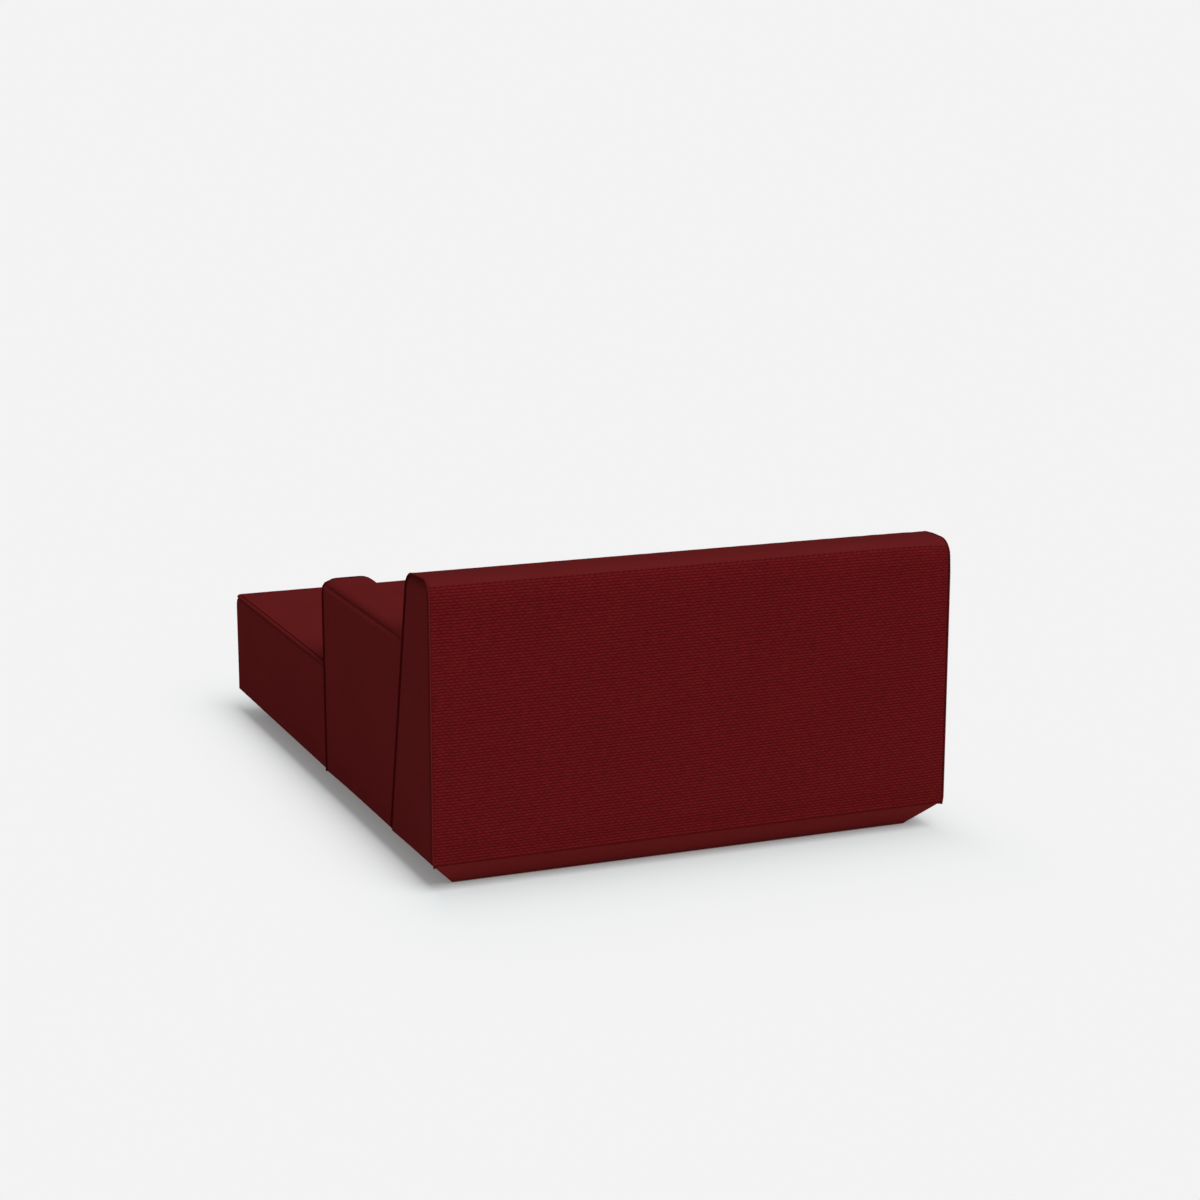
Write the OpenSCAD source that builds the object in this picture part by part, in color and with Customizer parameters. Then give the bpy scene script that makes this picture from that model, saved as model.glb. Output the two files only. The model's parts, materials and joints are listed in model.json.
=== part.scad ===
// Upholstered recamier in three modules that stand together: a seat block that
// runs the whole depth, a wedge-shaped backrest across the full width and a
// short wedge-shaped armrest. The outer faces are in line and draw in at the
// foot by a bevel of 45 degrees. The inner faces lean, so that each module
// traps the next and can only be drawn off level.
// Origin: on the floor under the middle. +Y is the rear, +X the armrest's side.

/* [Overall] */
// Width over the seams of the end panels
overall_w = 1365; // [1280:5:1480]
// Depth from the front of the seat to the seams at the rear
overall_d = 1805; // [1650:5:2000]
// Height of the backrest's rear top corner over its seams, before rounding
overall_h = 758; // [690:1:840]
// Height of the seat's top
seat_h = 357; // [340:1:400]
// Height of the armrest over its front seam
arm_h = 588; // [540:1:640]
// Distance from the rear face to the front of the armrest
arm_reach = 880; // [780:5:980]
// Depth of the backrest at its top, between the sharp corners
back_top_d = 166; // [156:1:200]
// Width of the armrest at its top, between the sharp corners
arm_top_w = 144; // [136:1:180]
// Lean of the inner faces from the vertical, in degrees
lean = 13; // [10:0.5:16]
// Fall of the backrest's top towards the front
back_top_fall = 8; // [0:1:12]

/* [Rounding] */
// Radius of the backrest's rear top edge
back_rear_r = 38; // [24:1:42]
// Radius of the backrest's front top edge
back_front_r = 55; // [40:1:60]
// Radius of the armrest's outer top edge
arm_outer_r = 24; // [18:1:46]
// Radius of the armrest's inner top edge
arm_inner_r = 50; // [36:1:54]
// Radius of the seat's top edges
seat_edge_r = 12; // [8:1:16]

/* [Foot] */
// Height at which the outer faces begin to draw in
plinth_h = 72; // [64:1:82]
// Height of the glides
glide_h = 3; // [2:0.5:5]
// Diameter of the glides
glide_d = 30; // [24:1:36]
// Diameter of the glides' pins
pin_d = 6; // [5:0.5:8]
// Length of the glides' pins
pin_len = 10; // [8:0.5:12]
// Distance of the glides from the edges of the base boards
glide_in = 45; // [30:1:60]
// Flat land at the foot of the bevelled battens
foot_land = 6; // [4:0.5:10]

/* [Cover] */
// Thickness of the woven cover
cover_t = 2; // [1.5:0.1:2.5]
// How far the seam lips stand proud
seam_lip = 3; // [2:0.25:4]
// Width of the seam lips
seam_w = 4; // [3:0.25:5]
// Width of the band between the two seams round the seat's top
edge_band_w = 16; // [14:0.5:22]

/* [Padding] */
// Thickness of the wadding under the seat's cover
wadding_t = 12; // [8:1:16]
// Thickness of the seat's soft foam layer
soft_foam_t = 40; // [30:1:50]
// Thickness of the seat's firm foam core
core_foam_t = 110; // [90:1:120]
// Thickness of the pad at the seat's step beside the armrest
step_pad_t = 12; // [8:1:18]
// Thickness of the backrest's front foam
back_foam_t = 70; // [60:1:80]
// Thickness of the backrest's rear foam
rear_foam_t = 12; // [8:1:18]
// Thickness of the armrest's inner foam
arm_foam_t = 45; // [35:1:52]
// Thickness of the armrest's outer foam
outer_foam_t = 12; // [8:1:18]
// Thickness of the foam over the backrest's top rail
back_crown_t = 52; // [50:1:60]
// Thickness of the foam over the armrest's top rail
arm_crown_t = 46; // [45:1:54]
// Thickness of the pads at the armrest's ends
arm_end_foam_t = 22; // [14:1:30]

/* [Frame] */
// Thickness of the seat's rails
rail_t = 22; // [18:1:28]
// Thickness of the base boards
board_t = 15; // [12:1:18]
// Thickness of the ribs
rib_t = 18; // [15:1:21]
// Number of ribs in the backrest
back_ribs_n = 5; // [5:1:6]
// Number of ribs in the armrest
arm_ribs_n = 4; // [4:1:5]
// Diameter of a rib's lightening hole, as a share of the rib's width there
rib_hole_share = 0.46; // [0.3:0.02:0.56]
// Thickness of the hardboard skins
skin_t = 4; // [3:0.5:6]
// Thickness of the top rails
top_rail_t = 18; // [15:1:22]
// Thickness of the foot battens along the leaning faces
batten_t = 22; // [18:1:26]
// Leg of the triangular corner blocks
block_leg = 70; // [50:1:90]
// How far the cross rails and corner blocks lie below the rails' tops
stretcher_drop = 26; // [20:1:40]

/* [Webbing] */
// Width of the elastic straps
strap_w = 60; // [50:1:70]
// Thickness of the elastic straps
strap_t = 2.4; // [1.8:0.1:3]
// Least distance between the centres of the seat's straps
strap_pitch = 112; // [100:1:130]
// Least distance between the centres of the backrest's straps
back_strap_pitch = 88; // [80:1:110]
// Distance of the straps' ends from the outer edges of the rails
strap_end_in = 4; // [3:0.5:6]
// Thickness of the felt over the webbing
felt_t = 4; // [3:0.5:6]
// Thickness of the dust cover
dust_t = 1; // [0.8:0.1:1.5]

/* [Connectors] */
// Thickness of the steel tongues
tongue_t = 4; // [3:0.5:5]
// Width of the steel tongues
tongue_w = 50; // [40:1:56]
// Length of a tongue beyond the rail that carries it
tongue_reach = 84; // [76:1:95]
// Height of a tongue's upright leg
tongue_leg_h = 44; // [38:1:48]
// Thickness of the sockets' sheet steel
socket_t = 2; // [1.5:0.25:3]
// Length of the sockets
socket_len = 40; // [30:1:45]
// Width of the sockets' flanges
socket_flange_w = 16; // [14:1:18]
// Diameter of the screws
screw_d = 4; // [3.5:0.25:5]
// Diameter of the screw heads
screw_head_d = 8; // [7:0.25:9]
// Thickness of the screw heads
screw_head_t = 1.6; // [1.2:0.1:2]
// Length of the screws under the head
screw_len = 12; // [10:0.5:14]

/* [Clearances] */
// Gap between neighbouring modules
module_gap = 0.5; // [0.4:0.05:0.7]
// Gap between pieces that lie against each other
fit = 0.2; // [0.15:0.01:0.25]
// Gap between a tongue and its socket
slide_gap = 0.4; // [0.3:0.05:0.6]

/* [Hidden] */
$fn = 48;

// Overrun of every cut past the face that it goes through
overrun = 2;
// Largest turn between two points of a rounded corner, in degrees
round_step = 9;

weave_colour = "#5c1517";
smooth_colour = "#521517";
foam_colour = "#e9e2c4";
wadding_colour = "#f2f2ee";
timber_colour = "#c9a063";
ply_colour = "#d6b585";
hardboard_colour = "#8a5f3c";
strap_colour = "#33332f";
felt_colour = "#77767a";
glide_colour = "#1c1c1e";
steel_colour = "#a7abb0";

side_x = overall_w / 2 - seam_lip;
rear_y = overall_d / 2 - seam_lip;
front_y = -overall_d / 2;
back_top_z = overall_h - seam_lip;
arm_top_z = arm_h - seam_lip;
slope = tan(lean);
bevel = plinth_h - glide_h;
back_base_d = back_top_d + (back_top_z - back_top_fall - plinth_h) * slope;
arm_base_w = arm_top_w + (arm_top_z - plinth_h) * slope;
arm_front_y = rear_y - arm_reach;
step_y = arm_front_y - module_gap;

// Depth of the layer just under the cover
under_cover = cover_t + fit;
// Distance of the frame from the outer faces, behind the bevelled battens
rail_in = under_cover / cos(45) + bevel + foot_land;

// Leaning inner face of a wedge whose outer face is at outer, moved by depth
// towards the seat
function face_at(outer, base, z, depth) =
    outer - base + (z - plinth_h) * slope - depth / cos(lean);
function back_face(z, depth) = face_at(rear_y, back_base_d, z, depth);
function arm_face(z, depth) = face_at(side_x, arm_base_w, z, depth);

// Outline with each side moved inwards by its own depth. The points run
// anticlockwise, and side i runs from point i to the next one.
function inset(points, depths) = [
    for (i = [0 : len(points) - 1])
        let (n = len(points))
        let (h = (i + n - 1) % n)
        let (u = (points[i] - points[h]) / norm(points[i] - points[h]))
        let (v = (points[(i + 1) % n] - points[i]) / norm(points[(i + 1) % n] - points[i]))
        let (a = points[i] + depths[h] * [-u.y, u.x])
        let (b = points[i] + depths[i] * [-v.y, v.x])
        a + u * cross(b - a, v) / cross(u, v)
];

// Outline with its corners rounded, each by its own radius
function rounded(points, radii) = [
    for (i = [0 : len(points) - 1])
        let (n = len(points))
        let (p = points[i])
        let (u = (p - points[(i + n - 1) % n]) / norm(p - points[(i + n - 1) % n]))
        let (v = (points[(i + 1) % n] - p) / norm(points[(i + 1) % n] - p))
        let (turn = acos(u * v))
        let (steps = radii[i] > 0 ? ceil(turn / round_step) : 0)
        let (centre = p - u * radii[i] * tan(turn / 2) + radii[i] * [-u.y, u.x])
        for (k = [0 : steps])
            let (a = steps == 0 ? 0 : k * turn / steps)
            steps == 0 ? p : centre + radii[i] * [
                u.y * cos(a) + u.x * sin(a),
                u.y * sin(a) - u.x * cos(a)
            ]
];

// Radii of the same corners at a greater depth
function deeper(radii, depth) = [for (r = radii) r > 0 ? max(r - depth, 0) : 0];

// Cross-section of a wedge from height z0 up: bottom, outer side, top, inner side
function wedge(outer, base, z0, top_w, z1, fall) = [
    [face_at(outer, base, z0, 0), z0],
    [outer, z0],
    [outer, z1],
    [outer - top_w, z1 - fall]
];
function back_wedge(z0) =
    wedge(rear_y, back_base_d, z0, back_top_d, back_top_z, back_top_fall);
function arm_wedge(z0) = wedge(side_x, arm_base_w, z0, arm_top_w, arm_top_z, 0);
back_radii = [0, 0, back_rear_r, back_front_r];
arm_radii = [0, 0, arm_outer_r, arm_inner_r];

// Cross-section of a wedge's foot, bevelled on the outer side
function wedge_foot(outer, base) = [
    [face_at(outer, base, glide_h, 0), glide_h],
    [outer - bevel, glide_h],
    [outer, plinth_h],
    [face_at(outer, base, plinth_h, 0), plinth_h]
];
// Cross-section of a foot that is bevelled on both sides
both_bevels = [
    [-side_x + bevel, glide_h],
    [side_x - bevel, glide_h],
    [side_x, plinth_h],
    [-side_x, plinth_h]
];

// Layer along the leaning face of a wedge, between two depths and two heights
function leaning_slab(outer, base, d0, d1, z0, z1) = [
    [face_at(outer, base, z0, -d0), z0],
    [face_at(outer, base, z0, -d1), z0],
    [face_at(outer, base, z1, -d1), z1],
    [face_at(outer, base, z1, -d0), z1]
];

// Prism whose cross-section is given in Y and Z
module run_x(x0, x1) {
    translate([x0, 0, 0]) rotate([90, 0, 90]) linear_extrude(x1 - x0) children();
}

// Prism whose cross-section is given in X and Z
module run_y(y0, y1) {
    translate([0, y1, 0]) rotate([90, 0, 0]) linear_extrude(y1 - y0) children();
}

// Box between two corners
module block(low, high) {
    translate(low) cube(high - low);
}

// Seat: heights of its layers, from the top down
wadding_z = seat_h - under_cover - wadding_t;
soft_z = wadding_z - fit - soft_foam_t;
core_z = soft_z - fit - core_foam_t;
felt_z = core_z - fit - felt_t;
rail_top = felt_z - 2 * strap_t - 2 * fit;
frame_z = glide_h + dust_t + fit;
stretcher_z = rail_top - stretcher_drop;

// Seat: places of its rails. The rails by the leaning faces stand clear of the
// tongues' legs and of the cover at the lowest point.
rail_x = side_x - rail_in;
rail_front = front_y + rail_in;
rail_mid = step_y - under_cover - step_pad_t - fit;
rail_arm = arm_face(glide_h, module_gap + under_cover) - tongue_t - fit;
rail_rear = back_face(glide_h, module_gap + under_cover) - tongue_t - fit;

// Backrest and armrest: heights and depths of their layers
base_top = glide_h + board_t;
back_crown_z = back_top_z - back_top_fall - under_cover - back_crown_t;
arm_crown_z = arm_top_z - under_cover - arm_crown_t;
back_rib_top = back_crown_z - top_rail_t - 2 * fit;
arm_rib_top = arm_crown_z - top_rail_t - 2 * fit;
back_rib_depth = under_cover + back_foam_t + strap_t + 2 * fit;
arm_rib_depth = under_cover + arm_foam_t + skin_t + 2 * fit;
back_rib_rear = rear_y - under_cover - rear_foam_t - skin_t - 2 * fit;
arm_rib_outer = side_x - under_cover - outer_foam_t - skin_t - 2 * fit;
back_batten_rear = back_face(glide_h, -under_cover) + batten_t;
arm_batten_outer = arm_face(glide_h, -under_cover) + batten_t;

// Backrest: middle of rib i, and of the bay after it
back_rib_pitch = (2 * rail_x - 2 * fit - rib_t) / (back_ribs_n - 1);
function back_rib_x(i) = -rail_x + fit + rib_t / 2 + i * back_rib_pitch;

// Armrest: front face of rib i. The last rib leans with the backrest.
arm_pad_depth = under_cover + arm_end_foam_t + fit;
arm_rib_front = arm_front_y + arm_pad_depth;
arm_rib_last = back_face(glide_h, module_gap + arm_pad_depth + rib_t);
arm_rib_pitch = (arm_rib_last - arm_rib_front) / (arm_ribs_n - 1);
function arm_rib_y(i) = arm_rib_front + i * arm_rib_pitch;

// Tongues: in the middle of a bay between ribs
tongue_z = base_top + slide_gap;
back_tongue_x = [back_rib_x(0.5), back_rib_x(2.5)];
arm_tongue_y = [arm_rib_y(0.5) + rib_t / 2, arm_rib_y(arm_ribs_n - 1.5) + rib_t / 2];
socket_w = tongue_w + 2 * slide_gap + 2 * socket_t;
socket_h = tongue_t + 2 * slide_gap + socket_t;
tongue_screw_z = tongue_z + tongue_leg_h - screw_head_d;

// Seat layer between two heights at one depth, in a front and a rear block that
// lean away from the backrest and the armrest, with a joint between them
module seat_layer(depth, z0, z1, joint) {
    block(
        [-side_x + depth, front_y + depth, z0],
        [side_x - depth, step_y - depth - joint, z1]
    );
    intersection() {
        run_y(step_y - depth - (joint > 0 ? 0 : overrun), rear_y)
            polygon([
                [-side_x + depth, z0],
                [arm_face(z0, module_gap + depth), z0],
                [arm_face(z1, module_gap + depth), z1],
                [-side_x + depth, z1]
            ]);
        run_x(-side_x, side_x)
            polygon([
                [front_y, z0],
                [back_face(z0, module_gap + depth), z0],
                [back_face(z1, module_gap + depth), z1],
                [front_y, z1]
            ]);
    }
}

// Seat's body above the bevel, with the outer top edges rounded
module seat_form(depth, z0, top_depth) {
    r = max(seat_edge_r - depth, 0);
    z1 = seat_h - top_depth;
    intersection() {
        seat_layer(depth, z0, z1, 0);
        run_x(-side_x, side_x)
            polygon(rounded(
                [[front_y + depth, z0], [rear_y, z0], [rear_y, z1], [front_y + depth, z1]],
                [0, 0, 0, r]
            ));
        run_y(front_y, rear_y)
            polygon(rounded(
                [
                    [-side_x + depth, z0],
                    [side_x - depth, z0],
                    [side_x - depth, z1],
                    [-side_x + depth, z1]
                ],
                [0, 0, r, r]
            ));
    }
}

// Seat's foot: bevelled at the front and on the outer sides, leaning at the
// backrest and the armrest
module seat_foot(depth, over) {
    z0 = glide_h - over;
    z1 = plinth_h + over;
    intersection() {
        seat_layer(depth, z0, z1, 0);
        run_y(front_y, rear_y) polygon(inset(both_bevels, [-over, depth, -over, depth]));
        run_x(-side_x, side_x)
            polygon(inset(
                [
                    [front_y + bevel, glide_h],
                    [rear_y, glide_h],
                    [rear_y, plinth_h],
                    [front_y, plinth_h]
                ],
                [-over, 0, -over, depth]
            ));
    }
}

// Foot of the backrest, bevelled at the rear and at both ends
module back_foot(depth, over) {
    intersection() {
        run_x(-side_x, side_x)
            polygon(inset(wedge_foot(rear_y, back_base_d), [-over, depth, -over, depth]));
        run_y(step_y, rear_y) polygon(inset(both_bevels, [-over, depth, -over, depth]));
    }
}

// Foot of the armrest, bevelled on the outer side
module arm_foot(depth, over) {
    intersection() {
        arm_span(depth, depth);
        run_y(step_y, rear_y)
            polygon(inset(wedge_foot(side_x, arm_base_w), [-over, depth, -over, depth]));
    }
}

// Room between the armrest's front plane and the backrest's leaning face
module arm_span(front_depth, rear_depth) {
    z1 = arm_h + overrun;
    run_x(-side_x, overall_w / 2)
        polygon([
            [arm_front_y + front_depth, -overrun],
            [back_face(-overrun, module_gap + rear_depth), -overrun],
            [back_face(z1, module_gap + rear_depth), z1],
            [arm_front_y + front_depth, z1]
        ]);
}

// Glide with its pin, and the hole for the pin
module glide() {
    cylinder(d = glide_d, h = glide_h);
    cylinder(d = pin_d, h = glide_h + pin_len);
}

module pin_hole() {
    cylinder(d = pin_d + 2 * fit, h = glide_h + pin_len + fit);
}

// Pan-head screw, pointing down from the face at z = 0, and its pilot hole
module screw() {
    translate([0, 0, -screw_len]) cylinder(d = screw_d, h = screw_len + screw_head_t);
    cylinder(d = screw_head_d, h = screw_head_t);
}

module screw_hole() {
    translate([0, 0, -screw_len - fit])
        cylinder(d = screw_d + 2 * fit, h = screw_len + fit + overrun);
}

// Angle of flat steel: an upright leg on a rail's face and a tongue along +Y
module tongue() {
    difference() {
        union() {
            block([-tongue_w / 2, 0, 0], [tongue_w / 2, tongue_t, tongue_leg_h]);
            block([-tongue_w / 2, 0, 0], [tongue_w / 2, tongue_reach, tongue_t]);
        }
        for (x = [-tongue_w / 4, tongue_w / 4])
            translate([x, tongue_t, tongue_screw_z - tongue_z]) rotate([-90, 0, 0]) screw_hole();
    }
}

// Sheet steel hat section that guides a tongue along +Y on a base board
module socket() {
    difference() {
        translate([0, socket_len, 0])
            rotate([90, 0, 0])
                linear_extrude(socket_len)
                    polygon([
                        [-socket_w / 2 - socket_flange_w, 0],
                        [-socket_w / 2 + socket_t, 0],
                        [-socket_w / 2 + socket_t, socket_h - socket_t],
                        [socket_w / 2 - socket_t, socket_h - socket_t],
                        [socket_w / 2 - socket_t, 0],
                        [socket_w / 2 + socket_flange_w, 0],
                        [socket_w / 2 + socket_flange_w, socket_t],
                        [socket_w / 2, socket_t],
                        [socket_w / 2, socket_h],
                        [-socket_w / 2, socket_h],
                        [-socket_w / 2, socket_t],
                        [-socket_w / 2 - socket_flange_w, socket_t]
                    ]);
        at_socket_screws() screw_hole();
    }
}

module at_socket_screws() {
    for (side = [-1, 1])
        translate([side * (socket_w / 2 + socket_flange_w / 2), socket_len / 2, socket_t])
            children();
}

// Places of the connectors. The socket starts behind the foot batten.
module at_back_tongues(y) {
    for (x = back_tongue_x)
        translate([x, y, 0]) children();
}

module at_arm_tongues(x) {
    for (y = arm_tongue_y)
        translate([x, y, 0]) rotate([0, 0, -90]) children();
}

// Way that a tongue needs through a batten or a cover
module tongue_way() {
    block(
        [-tongue_w / 2 - slide_gap, 0, base_top],
        [tongue_w / 2 + slide_gap, tongue_reach + overrun, tongue_z + tongue_t + slide_gap]
    );
}

// Places of the seat's glides, under the middle of its rails
module at_seat_glides() {
    x_side = rail_x - rail_t / 2;
    for (x = [-x_side, 0, x_side])
        translate([x, rail_front + rail_t / 2, 0]) children();
    for (x = [-x_side, 0, x_side])
        translate([x, rail_mid - rail_t / 2, 0]) children();
    for (x = [-x_side, rail_arm - rail_t / 2])
        translate([x, rail_rear - rail_t / 2, 0]) children();
}

module at_back_glides() {
    for (x = [-rail_x + glide_in, 0, rail_x - glide_in])
        for (y = [back_face(glide_h, -under_cover) + glide_in, rear_y - rail_in - glide_in])
            translate([x, y, 0]) children();
}

module at_arm_glides() {
    for (x = [arm_face(glide_h, -under_cover) + glide_in, rail_x - glide_in])
        for (y = [arm_front_y + under_cover + glide_in, back_face(glide_h, glide_in)])
            translate([x, y, 0]) children();
}

// Bay of webbing: places of its straps, spread evenly between two edges
function strap_places(low, high, pitch) =
    let (n = floor((high - low) / pitch))
    [for (i = [0 : n - 1]) low + (high - low) * (i + 0.5) / n];

// Distance at which a woven strap has reached its height beside the middle of a
// cross strap, as a share of the strap's width
weave_reach_share = 0.56;

// Side view of a strap that passes over and under the cross straps in turn. It
// lies flat on the rails, along an edge at each end.
function woven_line(y0, y1, places, first, edge) = concat(
    [[y0, 0], [y0 + edge, 0]],
    [
        for (i = [0 : len(places) - 1])
            for (s = [-1, 1])
                let (up = (i + first) % 2 == 0 ? 1 : -1)
                [places[i] + s * strap_w * weave_reach_share, up * (strap_t + fit)]
    ],
    [[y1 - edge, 0], [y1, 0]]
);

module woven_strap(x, y0, y1, places, first) {
    line = woven_line(y0, y1, places, first, rail_t - strap_end_in + fit);
    lift = [0, strap_t];
    run_x(x - strap_w / 2, x + strap_w / 2)
        translate([0, rail_top])
            polygon(concat(line, [for (i = [len(line) - 1 : -1 : 0]) line[i] + lift]));
}

module woven_bay(x0, x1, y0, y1) {
    places = strap_places(y0 + rail_t, y1 - rail_t, strap_pitch);
    columns = strap_places(x0 + rail_t, x1 - rail_t, strap_pitch);
    for (j = [0 : len(columns) - 1])
        woven_strap(columns[j], y0 + strap_end_in, y1 - strap_end_in, places, j);
}

module cross_bay(x0, x1, y0, y1) {
    for (y = strap_places(y0 + rail_t, y1 - rail_t, strap_pitch))
        block(
            [x0 + strap_end_in, y - strap_w / 2, rail_top],
            [x1 - strap_end_in, y + strap_w / 2, rail_top + strap_t]
        );
}

// Seat's frame
module seat_rails() {
    color(timber_colour) difference() {
        union() {
            block([-rail_x, rail_front, frame_z], [rail_x, rail_front + rail_t, rail_top]);
            block(
                [-rail_x, rail_front + rail_t + fit, frame_z],
                [-rail_x + rail_t, rail_rear - rail_t - fit, rail_top]
            );
            block(
                [rail_x - rail_t, rail_front + rail_t + fit, frame_z],
                [rail_x, rail_mid - rail_t - fit, rail_top]
            );
            block(
                [-rail_x + rail_t + fit, rail_mid - rail_t, frame_z],
                [rail_x, rail_mid, rail_top]
            );
            block(
                [rail_arm - rail_t, rail_mid + fit, frame_z],
                [rail_arm, rail_rear - rail_t - fit, rail_top]
            );
            block([-rail_x, rail_rear - rail_t, frame_z], [rail_arm, rail_rear, rail_top]);
        }
        at_seat_glides() pin_hole();
        at_back_tongues(rail_rear) at_tongue_screws() screw_hole();
        at_arm_tongues(rail_arm) at_tongue_screws() screw_hole();
    }
}

// Screws of a tongue's leg, seen from the rail's face
module at_tongue_screws() {
    for (x = [-tongue_w / 4, tongue_w / 4])
        translate([x, tongue_t, tongue_screw_z]) rotate([-90, 0, 0]) children();
}

// Stretchers along the middle of each bay
module seat_cross_rails() {
    x_rear = (-rail_x + rail_t + rail_arm - rail_t) / 2;
    color(timber_colour) {
        block(
            [-rail_t / 2, rail_front + rail_t + fit, frame_z],
            [rail_t / 2, rail_mid - rail_t - fit, stretcher_z]
        );
        block(
            [x_rear - rail_t / 2, rail_mid + fit, frame_z],
            [x_rear + rail_t / 2, rail_rear - rail_t - fit, stretcher_z]
        );
    }
}

// Triangular blocks glued into the corners of both bays
module seat_corner_blocks() {
    color(timber_colour) {
        bay_corners(
            -rail_x + rail_t + fit, rail_x - rail_t - fit,
            rail_front + rail_t + fit, rail_mid - rail_t - fit
        );
        bay_corners(
            -rail_x + rail_t + fit, rail_arm - rail_t - fit,
            rail_mid + fit, rail_rear - rail_t - fit
        );
    }
}

module bay_corners(x0, x1, y0, y1) {
    for (sx = [0, 1])
        for (sy = [0, 1])
            translate([sx == 0 ? x0 : x1, sy == 0 ? y0 : y1, frame_z])
                mirror([sx, 0, 0])
                    mirror([0, sy, 0])
                        linear_extrude(stretcher_z - frame_z)
                            polygon([[0, 0], [block_leg, 0], [0, block_leg]]);
}

// Bevelled battens at the front and on both outer sides
module seat_foot_battens() {
    color(timber_colour) intersection() {
        seat_foot(under_cover, 0);
        union() {
            block([-side_x, front_y, frame_z], [side_x, rail_front - fit, plinth_h]);
            block([-side_x, rail_front, frame_z], [-rail_x - fit, rear_y, plinth_h]);
            block([rail_x + fit, rail_front, frame_z], [side_x, rear_y, plinth_h]);
        }
    }
}

module seat_webbing_length() {
    color(strap_colour) {
        woven_bay(-rail_x, rail_x, rail_front, rail_mid - rail_t / 2);
        woven_bay(-rail_x, rail_arm, rail_mid - rail_t / 2, rail_rear);
    }
}

module seat_webbing_cross() {
    color(strap_colour) {
        cross_bay(-rail_x, rail_x, rail_front, rail_mid - rail_t / 2);
        cross_bay(-rail_x, rail_arm, rail_mid - rail_t / 2, rail_rear);
    }
}

module seat_felt() {
    color(felt_colour)
        translate([0, 0, felt_z])
            linear_extrude(felt_t)
                polygon([
                    [-rail_x, rail_front],
                    [rail_x, rail_front],
                    [rail_x, rail_mid],
                    [rail_arm, rail_mid],
                    [rail_arm, rail_rear],
                    [-rail_x, rail_rear]
                ]);
}

module seat_foam_core() {
    color(foam_colour) seat_layer(under_cover, core_z, core_z + core_foam_t, fit);
}

module seat_foam_soft() {
    color(foam_colour) seat_layer(under_cover, soft_z, soft_z + soft_foam_t, fit);
}

module seat_wadding() {
    color(wadding_colour)
        seat_layer(seat_edge_r + fit, wadding_z, wadding_z + wadding_t, fit);
}

// Strips between the frame and the sides: outside on the battens, and along the
// leaning faces and the step down to the foot, cut out for the tongues' legs
module seat_foam_sides() {
    z0 = plinth_h + fit;
    z1 = core_z - fit;
    color(foam_colour) difference() {
        intersection() {
            seat_layer(under_cover, frame_z, z1, 0);
            union() {
                block([-side_x, front_y, z0], [side_x, rail_front - fit, z1]);
                block([-side_x, rail_front, z0], [-rail_x - fit, rear_y, z1]);
                block([rail_x + fit, rail_front, z0], [side_x, rear_y, z1]);
                block([rail_arm + fit, rail_mid + fit, frame_z], [rail_x, step_y - under_cover, z1]);
                block([rail_arm + fit, step_y - under_cover + fit, frame_z], [side_x, rear_y, z1]);
                block([-rail_x, rail_rear + fit, frame_z], [rail_arm, rear_y, z1]);
            }
        }
        at_back_tongues(rail_rear) leg_room();
        at_arm_tongues(rail_arm) leg_room();
    }
}

// Room for a tongue's leg in the pad beside the rail
module leg_room() {
    block(
        [-tongue_w / 2 - fit, 0, frame_z - overrun],
        [tongue_w / 2 + fit, tongue_reach, tongue_z + tongue_leg_h + fit]
    );
}

// Top panel inside the edge band
module seat_cover_top() {
    color(weave_colour)
        seat_layer(edge_band_w + fit, seat_h - cover_t, seat_h, 0);
}

// Band between the two seams round the top edge, over the rounded corner
module seat_cover_edge() {
    color(weave_colour) difference() {
        seat_form(0, seat_h - seat_edge_r, 0);
        seat_form(cover_t, seat_h - seat_edge_r - overrun, cover_t);
        seat_layer(edge_band_w, seat_h - seat_edge_r - overrun, seat_h + overrun, 0);
    }
}

module seat_cover_sides() {
    z1 = seat_h - seat_edge_r - fit;
    color(weave_colour) difference() {
        seat_layer(0, plinth_h, z1, 0);
        seat_layer(cover_t, plinth_h - overrun, z1 + overrun, 0);
    }
}

module seat_cover_foot() {
    color(smooth_colour) difference() {
        seat_foot(0, 0);
        seat_foot(cover_t, overrun);
        at_back_tongues(rail_rear) tongue_way();
        at_arm_tongues(rail_arm) tongue_way();
    }
}

// Dust cover in two sheets, pierced by the glides' pins
module seat_dust_cover() {
    edge = foot_land / 2;
    color(strap_colour) difference() {
        union() {
            block(
                [-rail_x - edge, rail_front - edge, glide_h],
                [rail_x + edge, rail_mid, glide_h + dust_t]
            );
            block([-rail_x - edge, rail_mid + fit, glide_h], [rail_arm, rail_rear, glide_h + dust_t]);
        }
        at_seat_glides() pin_hole();
    }
}

module seat_glides() {
    color(glide_colour) at_seat_glides() glide();
}

module seat_tongues() {
    color(steel_colour) {
        at_back_tongues(rail_rear) translate([0, 0, tongue_z]) tongue();
        at_arm_tongues(rail_arm) translate([0, 0, tongue_z]) tongue();
    }
}

module seat_tongue_screws() {
    color(steel_colour) {
        at_back_tongues(rail_rear) at_tongue_screws() screw();
        at_arm_tongues(rail_arm) at_tongue_screws() screw();
    }
}

// Plywood rib of a wedge: it stands on the base board, steps out over the
// bevelled batten and narrows upwards. Holes lighten it.
function rib_outline(outer, base, low, outer_up, depth, top) = [
    [low, base_top + fit],
    [outer - rail_in - fit, base_top + fit],
    [outer - rail_in - fit, plinth_h + fit],
    [outer_up, plinth_h + fit],
    [outer_up, top],
    [face_at(outer, base, top, -depth), top],
    [face_at(outer, base, plinth_h + fit, -depth), plinth_h + fit],
    [low, plinth_h + fit]
];

// Heights of the lightening holes, as shares of the rib's upper part
hole_place_shares = [0.18, 0.46, 0.72];

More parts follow.
